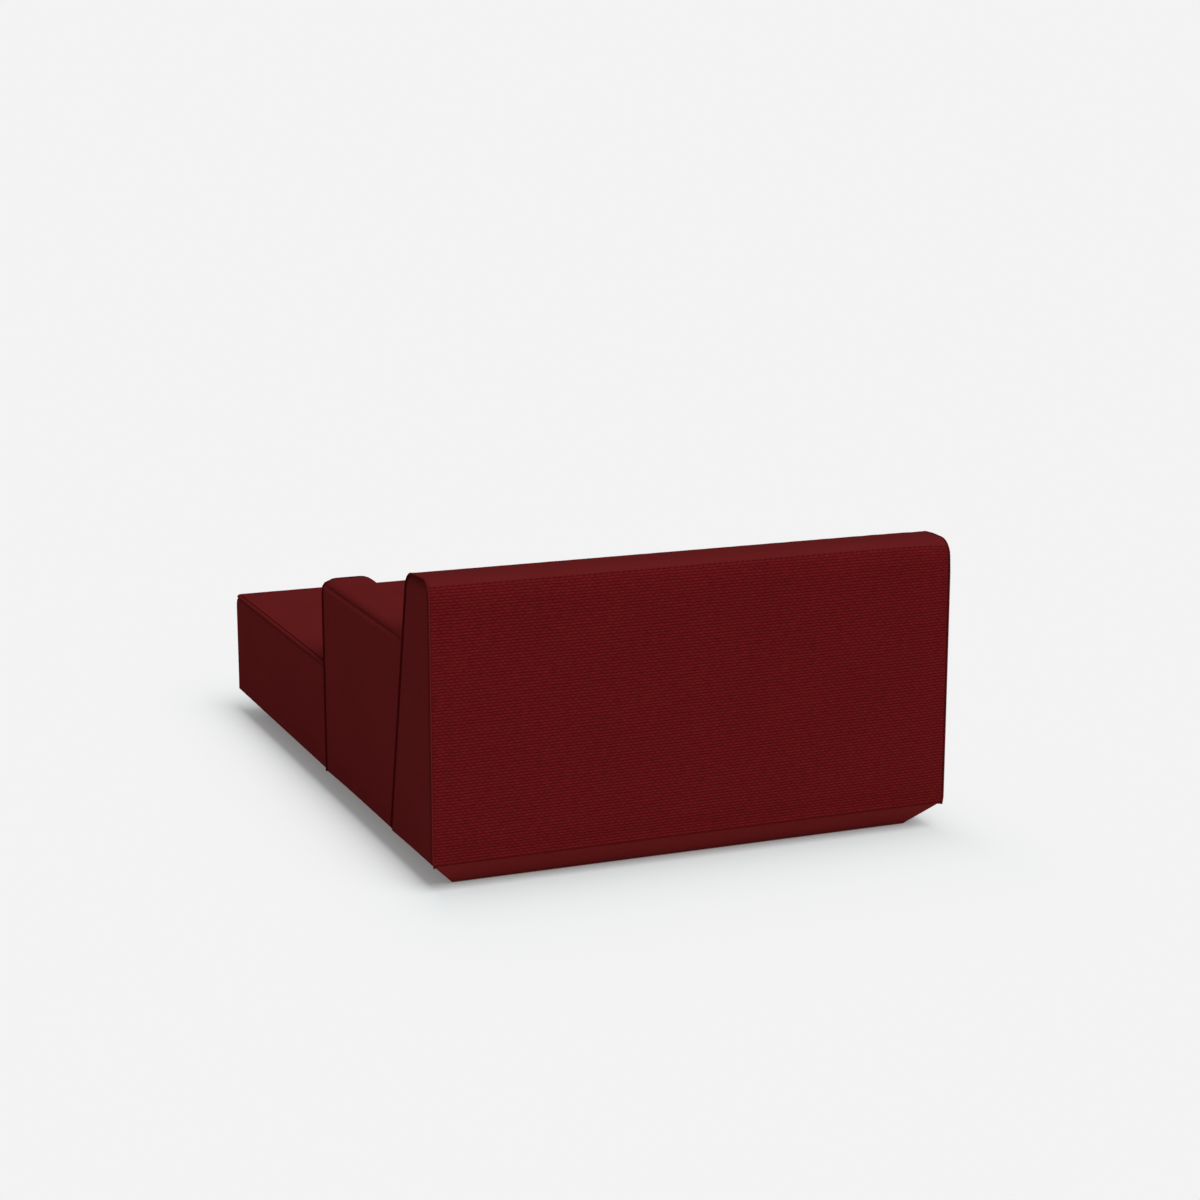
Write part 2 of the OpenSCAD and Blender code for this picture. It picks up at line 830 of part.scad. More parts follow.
module rib_holes(outer, base, outer_up, depth, top, reach) {
    for (share = hole_place_shares) {
        z = plinth_h + (top - plinth_h) * share;
        inner = face_at(outer, base, z, -depth);
        translate([(inner + outer_up) / 2, z, -reach])
            cylinder(d = (outer_up - inner) * rib_hole_share, h = 2 * reach);
    }
}

// Backrest's frame
module back_base_board() {
    color(ply_colour) difference() {
        intersection() {
            back_foot(under_cover, 0);
            block([-rail_x, step_y, glide_h], [rail_x, rear_y - rail_in, base_top]);
        }
        at_back_glides() pin_hole();
        at_back_sockets() at_socket_screws() screw_hole();
    }
}

module at_back_sockets() {
    at_back_tongues(back_batten_rear + fit) translate([0, 0, base_top]) children();
}

module back_ribs() {
    color(ply_colour)
        for (i = [0 : back_ribs_n - 1])
            difference() {
                run_x(back_rib_x(i) - rib_t / 2, back_rib_x(i) + rib_t / 2)
                    polygon(rib_outline(
                        rear_y, back_base_d, back_batten_rear + fit,
                        back_rib_rear, back_rib_depth, back_rib_top
                    ));
                translate([back_rib_x(i), 0, 0])
                    rotate([90, 0, 90])
                        rib_holes(rear_y, back_base_d, back_rib_rear, back_rib_depth, back_rib_top, rib_t);
            }
}

module back_rear_board() {
    color(hardboard_colour)
        block(
            [-rail_x, back_rib_rear + fit, plinth_h + fit],
            [rail_x, back_rib_rear + fit + skin_t, back_crown_z - fit]
        );
}

module back_top_rail() {
    z0 = back_rib_top + fit;
    z1 = z0 + top_rail_t;
    color(timber_colour)
        run_x(-rail_x, rail_x)
            polygon([
                [back_face(z0, -back_rib_depth), z0],
                [back_rib_rear, z0],
                [back_rib_rear, z1],
                [back_face(z1, -back_rib_depth), z1]
            ]);
}

module back_webbing() {
    d1 = back_rib_depth - fit;
    color(strap_colour)
        for (z = strap_places(plinth_h, back_rib_top, back_strap_pitch))
            run_x(-rail_x, rail_x)
                polygon(leaning_slab(
                    rear_y, back_base_d, d1 - strap_t, d1,
                    z - strap_w / 2 * cos(lean), z + strap_w / 2 * cos(lean)
                ));
}

// Battens of the backrest's foot: rear and both ends bevelled, front leaning
module back_foot_battens() {
    color(timber_colour) difference() {
        intersection() {
            back_foot(under_cover, 0);
            union() {
                block([-side_x, rear_y - rail_in + fit, glide_h], [side_x, rear_y, plinth_h]);
                for (side = [0, 1])
                    mirror([side, 0, 0])
                        block([rail_x + fit, step_y, glide_h], [side_x, rear_y - rail_in, plinth_h]);
                block([-rail_x, step_y, base_top + fit], [rail_x, back_batten_rear, plinth_h]);
            }
        }
        at_back_tongues(rail_rear) tongue_way();
    }
}

// Backrest's padding
module back_foam_front() {
    color(foam_colour)
        run_x(-rail_x, rail_x)
            polygon(leaning_slab(
                rear_y, back_base_d, under_cover, under_cover + back_foam_t,
                plinth_h + fit, back_crown_z - fit
            ));
}

module back_foam_crown() {
    color(foam_colour)
        run_x(-rail_x, rail_x)
            polygon(rounded(
                inset(back_wedge(back_crown_z), [0, under_cover, under_cover, under_cover]),
                deeper(back_radii, under_cover)
            ));
}

module back_foam_rear() {
    y1 = rear_y - under_cover;
    color(foam_colour)
        block([-rail_x, y1 - rear_foam_t, plinth_h + fit], [rail_x, y1, back_crown_z - fit]);
}

module back_foam_ends() {
    color(foam_colour)
        for (side = [0, 1])
            mirror([side, 0, 0])
                run_x(rail_x + fit, side_x - under_cover)
                    even_outline(back_wedge(plinth_h), back_radii, under_cover);
}

// Backrest's cover
module back_cover_band() {
    x1 = side_x - seam_w - fit;
    color(weave_colour) difference() {
        run_x(-x1, x1) polygon(rounded(back_wedge(plinth_h), back_radii));
        run_x(-x1 - overrun, x1 + overrun)
            polygon(rounded(
                inset(back_wedge(plinth_h), [-overrun, cover_t, cover_t, cover_t]),
                deeper(back_radii, cover_t)
            ));
    }
}

module back_cover_ends() {
    color(weave_colour)
        for (side = [0, 1])
            mirror([side, 0, 0])
                run_x(side_x - cover_t, side_x)
                    even_outline(back_wedge(plinth_h), back_radii, under_cover);
}

module back_seam_lips() {
    color(weave_colour)
        for (side = [0, 1])
            mirror([side, 0, 0])
                difference() {
                    run_x(side_x - seam_w, side_x + seam_lip)
                        lip_outline(back_wedge(plinth_h), back_radii);
                    run_x(side_x - seam_w - overrun, side_x + seam_lip + overrun)
                        even_outline(back_wedge(plinth_h), back_radii, cover_t);
                }
}

// Ring that stands proud of the outer side and the top of a wedge's end
module lip_outline(points, radii) {
    polygon(rounded(
        inset(points, [0, -seam_lip, -seam_lip, 0]),
        [for (r = radii) r > 0 ? r + seam_lip : 0]
    ));
}

// Outline of a wedge, drawn in alike on all four sides
module even_outline(points, radii, depth) {
    polygon(rounded(inset(points, [depth, depth, depth, depth]), deeper(radii, depth)));
}

module back_cover_foot() {
    color(smooth_colour) difference() {
        back_foot(0, 0);
        back_foot(cover_t, overrun);
        at_back_tongues(rail_rear) tongue_way();
    }
}

module back_glides() {
    color(glide_colour) at_back_glides() glide();
}

module back_sockets() {
    color(steel_colour) at_back_sockets() socket();
}

module back_socket_screws() {
    color(steel_colour) at_back_sockets() at_socket_screws() screw();
}

// Armrest's frame
module arm_base_board() {
    color(ply_colour) difference() {
        intersection() {
            arm_foot(under_cover, 0);
            block([0, step_y, glide_h], [rail_x, rear_y, base_top]);
        }
        at_arm_glides() pin_hole();
        at_arm_sockets() at_socket_screws() screw_hole();
    }
}

module at_arm_sockets() {
    at_arm_tongues(arm_batten_outer + fit) translate([0, 0, base_top]) children();
}

module arm_rib_profile() {
    polygon(rib_outline(
        side_x, arm_base_w, arm_batten_outer + fit,
        arm_rib_outer, arm_rib_depth, arm_rib_top
    ));
}

// Upright ribs, and the last one leaning like the backrest in front of it
module arm_ribs() {
    color(ply_colour) difference() {
        union() {
            for (i = [0 : arm_ribs_n - 2])
                run_y(arm_rib_y(i), arm_rib_y(i) + rib_t) arm_rib_profile();
            difference() {
                intersection() {
                    run_y(arm_rib_front, rear_y) arm_rib_profile();
                    arm_span(0, arm_pad_depth);
                }
                arm_span(0, arm_pad_depth + rib_t);
            }
        }
        translate([0, arm_rib_front, 0])
            rotate([90, 0, 0])
                rib_holes(side_x, arm_base_w, arm_rib_outer, arm_rib_depth, arm_rib_top, arm_reach);
    }
}

// Length of the armrest between its end pads
module arm_inner_length() {
    intersection() {
        arm_span(arm_pad_depth, arm_pad_depth);
        run_y(arm_front_y, rear_y) children();
    }
}

module arm_outer_board() {
    x0 = arm_rib_outer + fit;
    color(hardboard_colour)
        arm_inner_length()
            polygon([
                [x0, plinth_h + fit],
                [x0 + skin_t, plinth_h + fit],
                [x0 + skin_t, arm_crown_z - fit],
                [x0, arm_crown_z - fit]
            ]);
}

module arm_inner_board() {
    d1 = arm_rib_depth - fit;
    color(hardboard_colour)
        arm_inner_length()
            polygon(leaning_slab(
                side_x, arm_base_w, d1 - skin_t, d1, plinth_h + fit, arm_crown_z - fit
            ));
}

module arm_top_rail() {
    z0 = arm_rib_top + fit;
    z1 = z0 + top_rail_t;
    color(timber_colour)
        arm_inner_length()
            polygon([
                [arm_face(z0, -arm_rib_depth), z0],
                [arm_rib_outer, z0],
                [arm_rib_outer, z1],
                [arm_face(z1, -arm_rib_depth), z1]
            ]);
}

// Battens of the armrest's foot: the outer one bevelled, the inner one leaning,
// and one across each end
module arm_foot_battens() {
    color(timber_colour) difference() {
        intersection() {
            arm_foot(under_cover, 0);
            union() {
                block([rail_x + fit, step_y, glide_h], [side_x, rear_y, plinth_h]);
                block([0, step_y, base_top + fit], [arm_batten_outer, rear_y, plinth_h]);
                difference() {
                    block([arm_batten_outer + fit, step_y, base_top + fit], [rail_x, rear_y, plinth_h]);
                    arm_span(arm_pad_depth - fit, arm_pad_depth - fit);
                }
            }
        }
        at_arm_tongues(rail_arm) tongue_way();
    }
}

// Armrest's padding
module arm_foam_inner() {
    color(foam_colour)
        arm_inner_length()
            polygon(leaning_slab(
                side_x, arm_base_w, under_cover, under_cover + arm_foam_t,
                plinth_h + fit, arm_crown_z - fit
            ));
}

module arm_foam_crown() {
    color(foam_colour)
        arm_inner_length()
            polygon(rounded(
                inset(arm_wedge(arm_crown_z), [0, under_cover, under_cover, under_cover]),
                deeper(arm_radii, under_cover)
            ));
}

module arm_foam_outer() {
    x1 = side_x - under_cover;
    color(foam_colour)
        arm_inner_length()
            polygon([
                [x1 - outer_foam_t, plinth_h + fit],
                [x1, plinth_h + fit],
                [x1, arm_crown_z - fit],
                [x1 - outer_foam_t, arm_crown_z - fit]
            ]);
}

module arm_foam_ends() {
    color(foam_colour) intersection() {
        run_y(arm_front_y, rear_y) even_outline(arm_wedge(plinth_h), arm_radii, under_cover);
        difference() {
            arm_span(under_cover, under_cover);
            arm_span(arm_pad_depth - fit, arm_pad_depth - fit);
        }
    }
}

// Armrest's cover
module arm_cover_band() {
    color(weave_colour) intersection() {
        arm_span(seam_w + fit, under_cover);
        run_y(arm_front_y, rear_y)
            difference() {
                polygon(rounded(arm_wedge(plinth_h), arm_radii));
                polygon(rounded(
                    inset(arm_wedge(plinth_h), [-overrun, cover_t, cover_t, cover_t]),
                    deeper(arm_radii, cover_t)
                ));
            }
    }
}

module arm_cover_ends() {
    color(weave_colour) {
        run_y(arm_front_y, arm_front_y + cover_t)
            even_outline(arm_wedge(plinth_h), arm_radii, under_cover);
        difference() {
            intersection() {
                arm_span(0, 0);
                run_y(arm_front_y, rear_y) polygon(rounded(arm_wedge(plinth_h), arm_radii));
            }
            arm_span(-overrun, cover_t);
        }
    }
}

module arm_seam_lip() {
    color(weave_colour) difference() {
        run_y(arm_front_y, arm_front_y + seam_w) lip_outline(arm_wedge(plinth_h), arm_radii);
        run_y(arm_front_y - overrun, arm_front_y + seam_w + overrun)
            even_outline(arm_wedge(plinth_h), arm_radii, cover_t);
    }
}

module arm_cover_foot() {
    color(smooth_colour) difference() {
        arm_foot(0, 0);
        arm_foot(cover_t, overrun);
        at_arm_tongues(rail_arm) tongue_way();
    }
}

module arm_glides() {
    color(glide_colour) at_arm_glides() glide();
}

module arm_sockets() {
    color(steel_colour) at_arm_sockets() socket();
}

module arm_socket_screws() {
    color(steel_colour) at_arm_sockets() at_socket_screws() screw();
}

seat_rails();
seat_cross_rails();
seat_corner_blocks();
seat_foot_battens();
seat_webbing_length();
seat_webbing_cross();
seat_felt();
seat_foam_core();
seat_foam_soft();
seat_foam_sides();
seat_wadding();
seat_cover_top();
seat_cover_edge();
seat_cover_sides();
seat_cover_foot();
seat_dust_cover();
seat_glides();
seat_tongues();
seat_tongue_screws();
back_base_board();
back_ribs();
back_rear_board();
back_top_rail();
back_webbing();
back_foot_battens();
back_foam_front();
back_foam_crown();
back_foam_rear();
back_foam_ends();
back_cover_band();
back_cover_ends();
back_seam_lips();
back_cover_foot();
back_glides();
back_sockets();
back_socket_screws();
arm_base_board();
arm_ribs();
arm_outer_board();
arm_inner_board();
arm_top_rail();
arm_foot_battens();
arm_foam_inner();
arm_foam_crown();
arm_foam_outer();
arm_foam_ends();
arm_cover_band();
arm_cover_ends();
arm_seam_lip();
arm_cover_foot();
arm_glides();
arm_sockets();
arm_socket_screws();
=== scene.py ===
# Recamier in three upholstered modules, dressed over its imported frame.
# Metres throughout. X is the width, with the armrest at +X, and +Y is the rear.
import json
import math
import bpy
import bmesh
import numpy as np
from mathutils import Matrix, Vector
from mathutils.kdtree import KDTree


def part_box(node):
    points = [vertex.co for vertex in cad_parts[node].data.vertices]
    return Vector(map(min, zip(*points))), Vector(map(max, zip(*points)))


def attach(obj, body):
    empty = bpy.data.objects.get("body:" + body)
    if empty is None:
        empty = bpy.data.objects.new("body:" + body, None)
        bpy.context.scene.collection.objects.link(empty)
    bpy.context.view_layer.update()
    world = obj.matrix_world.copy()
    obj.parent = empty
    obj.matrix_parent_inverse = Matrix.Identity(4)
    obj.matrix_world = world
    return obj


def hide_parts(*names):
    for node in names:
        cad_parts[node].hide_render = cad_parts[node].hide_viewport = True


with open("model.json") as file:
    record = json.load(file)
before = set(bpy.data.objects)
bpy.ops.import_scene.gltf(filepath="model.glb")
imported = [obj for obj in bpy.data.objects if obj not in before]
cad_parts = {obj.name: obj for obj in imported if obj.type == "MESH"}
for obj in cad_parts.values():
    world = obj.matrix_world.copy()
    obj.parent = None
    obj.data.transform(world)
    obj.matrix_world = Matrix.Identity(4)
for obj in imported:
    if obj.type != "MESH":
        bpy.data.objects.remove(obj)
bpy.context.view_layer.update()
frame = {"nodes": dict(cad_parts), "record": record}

BODIES = {"seat": "seat", "back": "backrest", "arm": "armrest"}

# Shape of the modules, from the frame's own boxes where these tell it
SLOPE = math.tan(math.radians(13))
PLINTH_Z = 0.072
FOOT_Z = 0.003
SIDE_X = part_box("seat_cover_sides")[1].x
FRONT_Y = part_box("seat_cover_sides")[0].y
SEAT_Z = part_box("seat_cover_top")[1].z
REAR_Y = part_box("back_cover_band")[1].y
BACK_FOOT_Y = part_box("back_cover_band")[0].y
ARM_FOOT_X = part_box("arm_cover_band")[0].x
ARM_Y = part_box("arm_seam_lip")[0].y
MODULE_GAP = 0.0005
BACK_TOP_Z = 0.755
BACK_TOP_D = 0.166
BACK_TOP_FALL = 0.008
BACK_RADII = (0.038, 0.055)
ARM_TOP_Z = 0.585
ARM_TOP_W = 0.144
ARM_RADII = (0.024, 0.050)
ARM_FRONT_RADII = (0.037, 0.050)

# Steel tongues of the seat that plug into the other modules, and the slits for them
BACK_TONGUES_X = (-0.4441, 0.1480)
ARM_TONGUES_Y = (0.1319, 0.4477)
TONGUE_W = 0.0508
SLIT_Z = (0.0180, 0.0228)

# Seam lips: how far they stand out, how much higher they are on top, how far they hang
# over the foot and where they bend in there
LIP_PROUD = 0.003
LIP_RISE = 0.0012
LIP_HANG = 0.006
LIP_BENT = 0.02
LIP_THIN = 0.45
# Lip's corner at the armrest's front, drawn out by so much round one angle
EAR = 0.006
EAR_TURN = 0.62
EAR_SPREAD = 0.17

# Covers: how thick they are, where they end beside the lips, the grooves there, and the
# radii of their upright corners
CLOTH_T = 0.0018
BAND_T = 0.0012
LIP_W = 0.0012
ARM_LIP_W = 0.004
BAND_W = 0.013
PANEL_IN = 0.004
PANEL_INNER_IN = 0.0015
PANEL_OUT = 0.0002
PANEL_SWELL = 0.8
ARM_REAR_GAP = MODULE_GAP + 0.0006
GROOVE_W = 0.009
GROOVE = 0.0045
EDGE_GROOVE_W = 0.006
EDGE_GROOVE = 0.0025
LEAN_GROOVE = 0.0018
FOOT_SEAM = 0.0045
FOOT_IN = 0.0004
CORNER_R = 0.0045
INNER_R = 0.004
ROLL = 0.0026
SHALLOW = 0.45

# Hems of the end panels: how far inside the side they stay, and their length
HEM_IN = 0.002
HEM_LENGTH = 0.006
# Slack: hems that hang lower near a seam, and the backrest's corner that has sunk in
HEM_DROP = 0.005
HEM_REACH = 0.16
SETTLED = 0.007
SETTLED_REACH = 0.05

# Gathers along a seam, waves with their phases
PUCKERS = ((95.0, 0.3), (151.0, 2.1), (229.0, 4.4))

# Padding: how far it swells the covers, how little they may sink in, how near to a seam
# it is held, and how much smaller the foams are than their CAD solids
CROWN = 0.003
SUNK = -0.0004
HELD = 0.012
PRESSED = 0.0035
ARM_PRESSED = 0.0105
# Crease where the armrest's top padding meets its outer side: height, depth and width
CREASE_Z = 0.570
CREASE = 0.0027
CREASE_W = 0.0042

# Cloth simulation of a module's padding: its grid, its length in frames, and its cloth
CASE_VOXEL = 0.017
CASE_STEPS = 20
CASE_CLOTH = {
    "quality": 4,
    "mass": 0.35,
    "tension_stiffness": 12,
    "compression_stiffness": 12,
    "shear_stiffness": 4,
    "bending_stiffness": 0.5,
    "use_pressure": True,
    "uniform_pressure_force": 4,
    "vertex_group_mass": "held",
}

# Spacing of the grids
PITCH = 0.013
ARC = np.linspace(0, 1, 7)
ENDS = np.array([0, 0.0004, 0.0011, 0.002, 0.0032, 0.005, 0.008, 0.013, 0.02])

# Colours and weaves, each weave's cell by its width and height
RED = (0.112, 0.0070, 0.0080)
PLAIN_RED = (0.120, 0.0112, 0.0117)
# Painted light: the feet slope down towards the floor, and their red is made lighter than the
# cover's for the light bounced up onto them
FOOT_LIT_RED = (0.162, 0.0146, 0.0152)
# Painted shade of the seam lips: a dark red where a lip doesn't lean, and a darker one where it
# leans and on the armrest's lip
RIM_SHADE_RED = (0.086, 0.0078, 0.0082)
SEAM_SHADE_RED = (0.056, 0.0035, 0.0040)
# Painted shade along an end panel's seams: its cloth is RIM_SHADE as dark within the first reach
# from its rim, and its own colour beyond the second
RIM_REACH = (0.007, 0.026)
RIM_SHADE = 0.66
COARSE = (0.0147, 0.0073)
FINE = (0.0024, 0.0013)
SMOOTH = (0.0016, 0.0009)
FLOAT_END = 0.5
REAR_PLAIN_V = 0.673
NOISE = (0.3, 0.7)

# Stage, light and camera
BACKGROUND = 0.896
AMBIENT = 0.42
SHADOW_START = (SIDE_X - 0.018, REAR_Y, 0)
SHADOW_FALL = (14, 6, 1)
SHADOW_SHARE = 0.84
FLOOR_REACH = 40
FLOOR_SEEN = (0.80, 0.86, 0.86, 1)
FLOOR_BOUNCE = (0.70, 0.70, 0.70, 1)
SUN_FROM = (-0.21, 0.60, 0.80)
SUN_STRENGTH = 2.12
SUN_SPREAD = math.radians(46)
CAMERA_AT = (2.4738, 6.2816, 1.9686)
CAMERA_YAW = math.radians(22.373)
CAMERA_PITCH = math.radians(12.533)
CAMERA_LENS = 76.2


# Materials

def add(tree, kind, values=None, **settings):
    """A new node, with its inputs set or linked by name or number."""
    made = tree.nodes.new("ShaderNode" + kind)
    for key, value in settings.items():
        setattr(made, key, value)
    for key, value in (values or {}).items():
        if isinstance(value, bpy.types.NodeSocket):
            tree.links.new(value, made.inputs[key])
        else:
            made.inputs[key].default_value = value
    return made


def blank(name):
    """A new node material, its tree and its shader."""
    material = bpy.data.materials.new(name)
    material.use_nodes = True
    tree = material.node_tree
    return material, tree, tree.nodes["Principled BSDF"]


def math_node(tree, operation, *values):
    """Output of a Math node on up to three values."""
    return add(tree, "Math", dict(enumerate(values)), operation=operation).outputs[0]


def vector_node(tree, operation, *values):
    """Vector output of a Vector Math node on up to three values."""
    return add(tree, "VectorMath", dict(enumerate(values)), operation=operation).outputs[0]


def noise(tree, place, scale, detail):
    """Outputs of a noise texture."""
    return add(tree, "TexNoise", {"Vector": place, "Scale": scale, "Detail": detail}).outputs


def split(tree, vector):
    """The X, Y and Z of a vector, as outputs."""
    return add(tree, "SeparateXYZ", {0: vector}).outputs


def blend_colours(tree, share, first, second):
    """Colour between two others."""
    return add(tree, "MixRGB", {0: share, 1: first, 2: second}).outputs[0]


def spread(tree, value, low, high, to_low, to_high):
    """Value moved from one range to another, and held inside it."""
    return add(tree, "MapRange", {0: value, 1: low, 2: high, 3: to_low, 4: to_high}).outputs[0]


def dress(tree, shader, colour, rough, height, depth, strength):
    """Gives a shader its colour, its roughness and its relief."""
    bump = add(tree, "Bump", {"Height": height, "Distance": depth, "Strength": strength})
    tree.links.new(colour, shader.inputs["Base Color"])
    tree.links.new(rough, shader.inputs["Roughness"])
    tree.links.new(bump.outputs[0], shader.inputs["Normal"])


def grey(level):
    """Opaque grey of one level."""
    return (level, level, level, 1)


def tone(colour, share):
    """Opaque colour made lighter or darker."""
    return tuple(min(c * share, 1) for c in colour) + (1,)


def arched(tree, value, power):
    """Arches from 0 up to 1 and back, one for each whole step of value."""
    wave = math_node(tree, "SINE", math_node(tree, "MULTIPLY", value, math.pi))
    return math_node(tree, "POWER", math_node(tree, "ABSOLUTE", wave), power)


def weave_nodes(tree, place, colour, cell, contrast):
    """Ribs of long floats, each row half a float on from the last: their colour, and
    their height from 0 to 1."""
    width, row = cell
    sway = vector_node(
        tree, "SUBTRACT", noise(tree, place, 0.35 / width, 2)["Color"], (0.5, 0.5, 0.5)
    )
    bent = vector_node(tree, "MULTIPLY_ADD", sway, (width * 0.3, row * 0.3, 0), place)
    cells = vector_node(tree, "MULTIPLY", bent, (1 / width, 1 / row, 1))
    at = split(tree, cells)
    half_row = math_node(tree, "MULTIPLY", math_node(tree, "FLOOR", at["Y"]), 0.5)
    floats = math_node(tree, "ADD", at["X"], math_node(tree, "FRACT", half_row))
    rib = arched(tree, at["Y"], 0.55)
    end = math_node(tree, "MULTIPLY_ADD", arched(tree, floats, 0.5), FLOAT_END, 1 - FLOAT_END)
    height = math_node(tree, "MULTIPLY", rib, end)
    slubs = noise(tree, cells, 0.8, 2)["Fac"]
    light = spread(tree, slubs, *NOISE, 1 - 0.5 * contrast, 1 + 0.5 * contrast)
    painted = blend_colours(
        tree, height, tone(colour, 1 - 2.4 * contrast), tone(colour, 1 + contrast)
    )
    return vector_node(tree, "MULTIPLY", painted, light), height


def fine_above_shade_dashes(tree, place, coarse, colour, cell, plain):
    """Coarse weave that gives way to a finer one above a row of dark dashes, painted shade under
    the first row of the coarse weave. plain is the height of the dashes on the cloth, and the
    finer weave."""
    start, *fine = plain
    painted, height = coarse
    fine_painted, fine_height = weave_nodes(tree, place, *fine)
    fine_height = math_node(tree, "MULTIPLY", fine_height, fine[1][1] / cell[1])
    at = split(tree, place)
    above = spread(tree, at["Y"], start - 0.001, start + 0.001, 0, 1)
    # Painted shade: one row of dark dashes along the start of the coarse weave
    near = math_node(tree, "COMPARE", at["Y"], start + 0.0005, 0.0015)
    step = math_node(tree, "FRACT", math_node(tree, "DIVIDE", at["X"], cell[0]))
    shade_dashes = math_node(tree, "MULTIPLY", near, math_node(tree, "LESS_THAN", step, 0.55))
    painted = blend_colours(tree, above, painted, fine_painted)
    dark = math_node(tree, "MULTIPLY", shade_dashes, 0.4)
    painted = blend_colours(tree, dark, painted, tone(colour, 0.25))
    return painted, add(tree, "Mix", {0: above, 2: height, 3: fine_height}).outputs[0]


def cloth_material(name, colour, cell, contrast, depth, plain=None, rim=False):
    """Matt upholstery cloth, woven in cells of one size. plain gives the height on the cloth
    above which the cells give way to a finer weave, and that weave. With rim the cloth is
    darkened near its seam by the piece's rim map, a painted shade."""
    material, tree, shader = blank(name)
    place = add(tree, "UVMap", uv_map="cloth").outputs["UV"]
    painted, height = weave_nodes(tree, place, colour, cell, contrast)
    if plain:
        painted, height = fine_above_shade_dashes(tree, place, (painted, height), colour, cell, plain)
    patches = noise(tree, place, 5, 4)["Fac"]
    specks = noise(tree, place, 420, 2)["Fac"]
    shade = math_node(tree, "MULTIPLY", spread(tree, patches, *NOISE, 0.97, 1.03),
                      spread(tree, specks, *NOISE, 0.9, 1.1))
    # Painted shade near the seam: the colour darkens towards the rim
    if rim:
        away = split(tree, add(tree, "UVMap", uv_map="rim").outputs["UV"])["X"]
        seam_shade = spread(tree, away, *RIM_REACH, RIM_SHADE, 1)
        shade = math_node(tree, "MULTIPLY", shade, seam_shade)
    rough = spread(tree, specks, *NOISE, 0.82, 0.96)
    dress(tree, shader, vector_node(tree, "MULTIPLY", painted, shade), rough, height, depth, 0.7)
    shader.inputs["Specular IOR Level"].default_value = 0.0
    shader.inputs["Sheen Weight"].default_value = 0.005
    shader.inputs["Sheen Roughness"].default_value = 0.5
    shader.inputs["Sheen Tint"].default_value = (1, 0.6, 0.6, 1)
    return material


def object_place(tree, stretch):
    """Object coordinates, stretched along each axis."""
    return vector_node(tree, "MULTIPLY", add(tree, "TexCoord").outputs["Object"], stretch)


def wood_material(name, light, dark, stretch, ring_scale, roughness):
    """Planed wood, with its grain along the axis that is stretched least."""
    material, tree, shader = blank(name)
    place = object_place(tree, stretch)
    rings = add(
        tree,
        "TexWave",
        {"Vector": place, "Scale": ring_scale, "Distortion": 6, "Detail": 3, "Detail Scale": 0.6},
    )
    fibre = noise(tree, place, 60, 5)["Fac"]
    share = math_node(tree, "MULTIPLY", rings.outputs["Fac"], noise(tree, place, 3, 3)["Fac"])
    share = math_node(tree, "MULTIPLY_ADD", fibre, 0.35, share)
    colour = blend_colours(tree, share, light + (1,), dark + (1,))
    rough = spread(tree, share, 0, 1, roughness, roughness + 0.15)
    dress(tree, shader, colour, rough, fibre, 0.0003, 0.4)
    return material


def grained_material(name, light, dark, scale, roughness, depth, metallic=0.0, stretch=(1, 1, 1)):
    """Fine irregular grain: foam, felt, wadding, plastic or plated steel."""
    material, tree, shader = blank(name)
    place = object_place(tree, stretch)
    cells = add(tree, "TexVoronoi", {"Vector": place, "Scale": scale}).outputs["Distance"]
    cloud = noise(tree, place, scale * 0.1, 5)["Fac"]
    share = math_node(tree, "MULTIPLY", math_node(tree, "MULTIPLY", cells, cloud), 1.6)
    colour = blend_colours(tree, share, light + (1,), dark + (1,))
    rough = spread(tree, cloud, *NOISE, roughness - 0.06, roughness + 0.06)
    dress(tree, shader, colour, rough, share, depth, 0.6)
    shader.inputs["Metallic"].default_value = metallic
    return material


CLOTHS = {
    "rear_weave": (RED, COARSE, 0.25, 0.0013, (REAR_PLAIN_V, PLAIN_RED, FINE, 0.1)),
    "weave": (PLAIN_RED, FINE, 0.12, 0.0003),
    # End panels' cloth, with painted shade near their seams
    "panel_weave": (PLAIN_RED, FINE, 0.12, 0.0003, None, True),
    # Feet's cloth, its lighter red painted light from the floor below
    "smooth_cloth": (FOOT_LIT_RED, SMOOTH, 0.08, 0.0002),
    # Painted shade of the seam lips, as darker copies of the cloth
    "rim": (RIM_SHADE_RED, FINE, 0.12, 0.0003),
    "seam": (SEAM_SHADE_RED, FINE, 0.12, 0.0003),
}
GRAINS = {
    "foam": ((0.80, 0.74, 0.55), (0.66, 0.58, 0.38), 420, 0.92, 0.0006),
    "wadding": ((0.88, 0.88, 0.85), (0.74, 0.74, 0.72), 160, 0.95, 0.0012),
    "felt": ((0.2, 0.2, 0.21), (0.1, 0.1, 0.105), 300, 0.96, 0.0006),
    "dust_cloth": ((0.035, 0.035, 0.036), (0.018, 0.018, 0.019), 500, 0.9, 0.0003),
    "glide": ((0.014, 0.014, 0.015), (0.02, 0.02, 0.02), 700, 0.5, 0.0001),
    "steel": ((0.45, 0.47, 0.49), (0.36, 0.38, 0.4), 220, 0.36, 0.0001, 1.0, (1, 1, 4)),
    "hardboard": ((0.27, 0.125, 0.052), (0.19, 0.082, 0.032), 260, 0.6, 0.0002),
    "strap": ((0.045, 0.045, 0.038), (0.02, 0.02, 0.018), 600, 0.8, 0.0004, 0.0, (1, 1, 3)),
}
WOODS = {
    "timber": ((0.62, 0.40, 0.17), (0.42, 0.23, 0.08), (3, 12, 12), 5, 0.6),
    "plywood": ((0.68, 0.48, 0.26), (0.52, 0.33, 0.15), (10, 10, 60), 3, 0.55),
}
MATERIALS = {
    name: make(name, *values)
    for make, table in (
        (cloth_material, CLOTHS), (grained_material, GRAINS), (wood_material, WOODS)
    )
    for name, values in table.items()
}


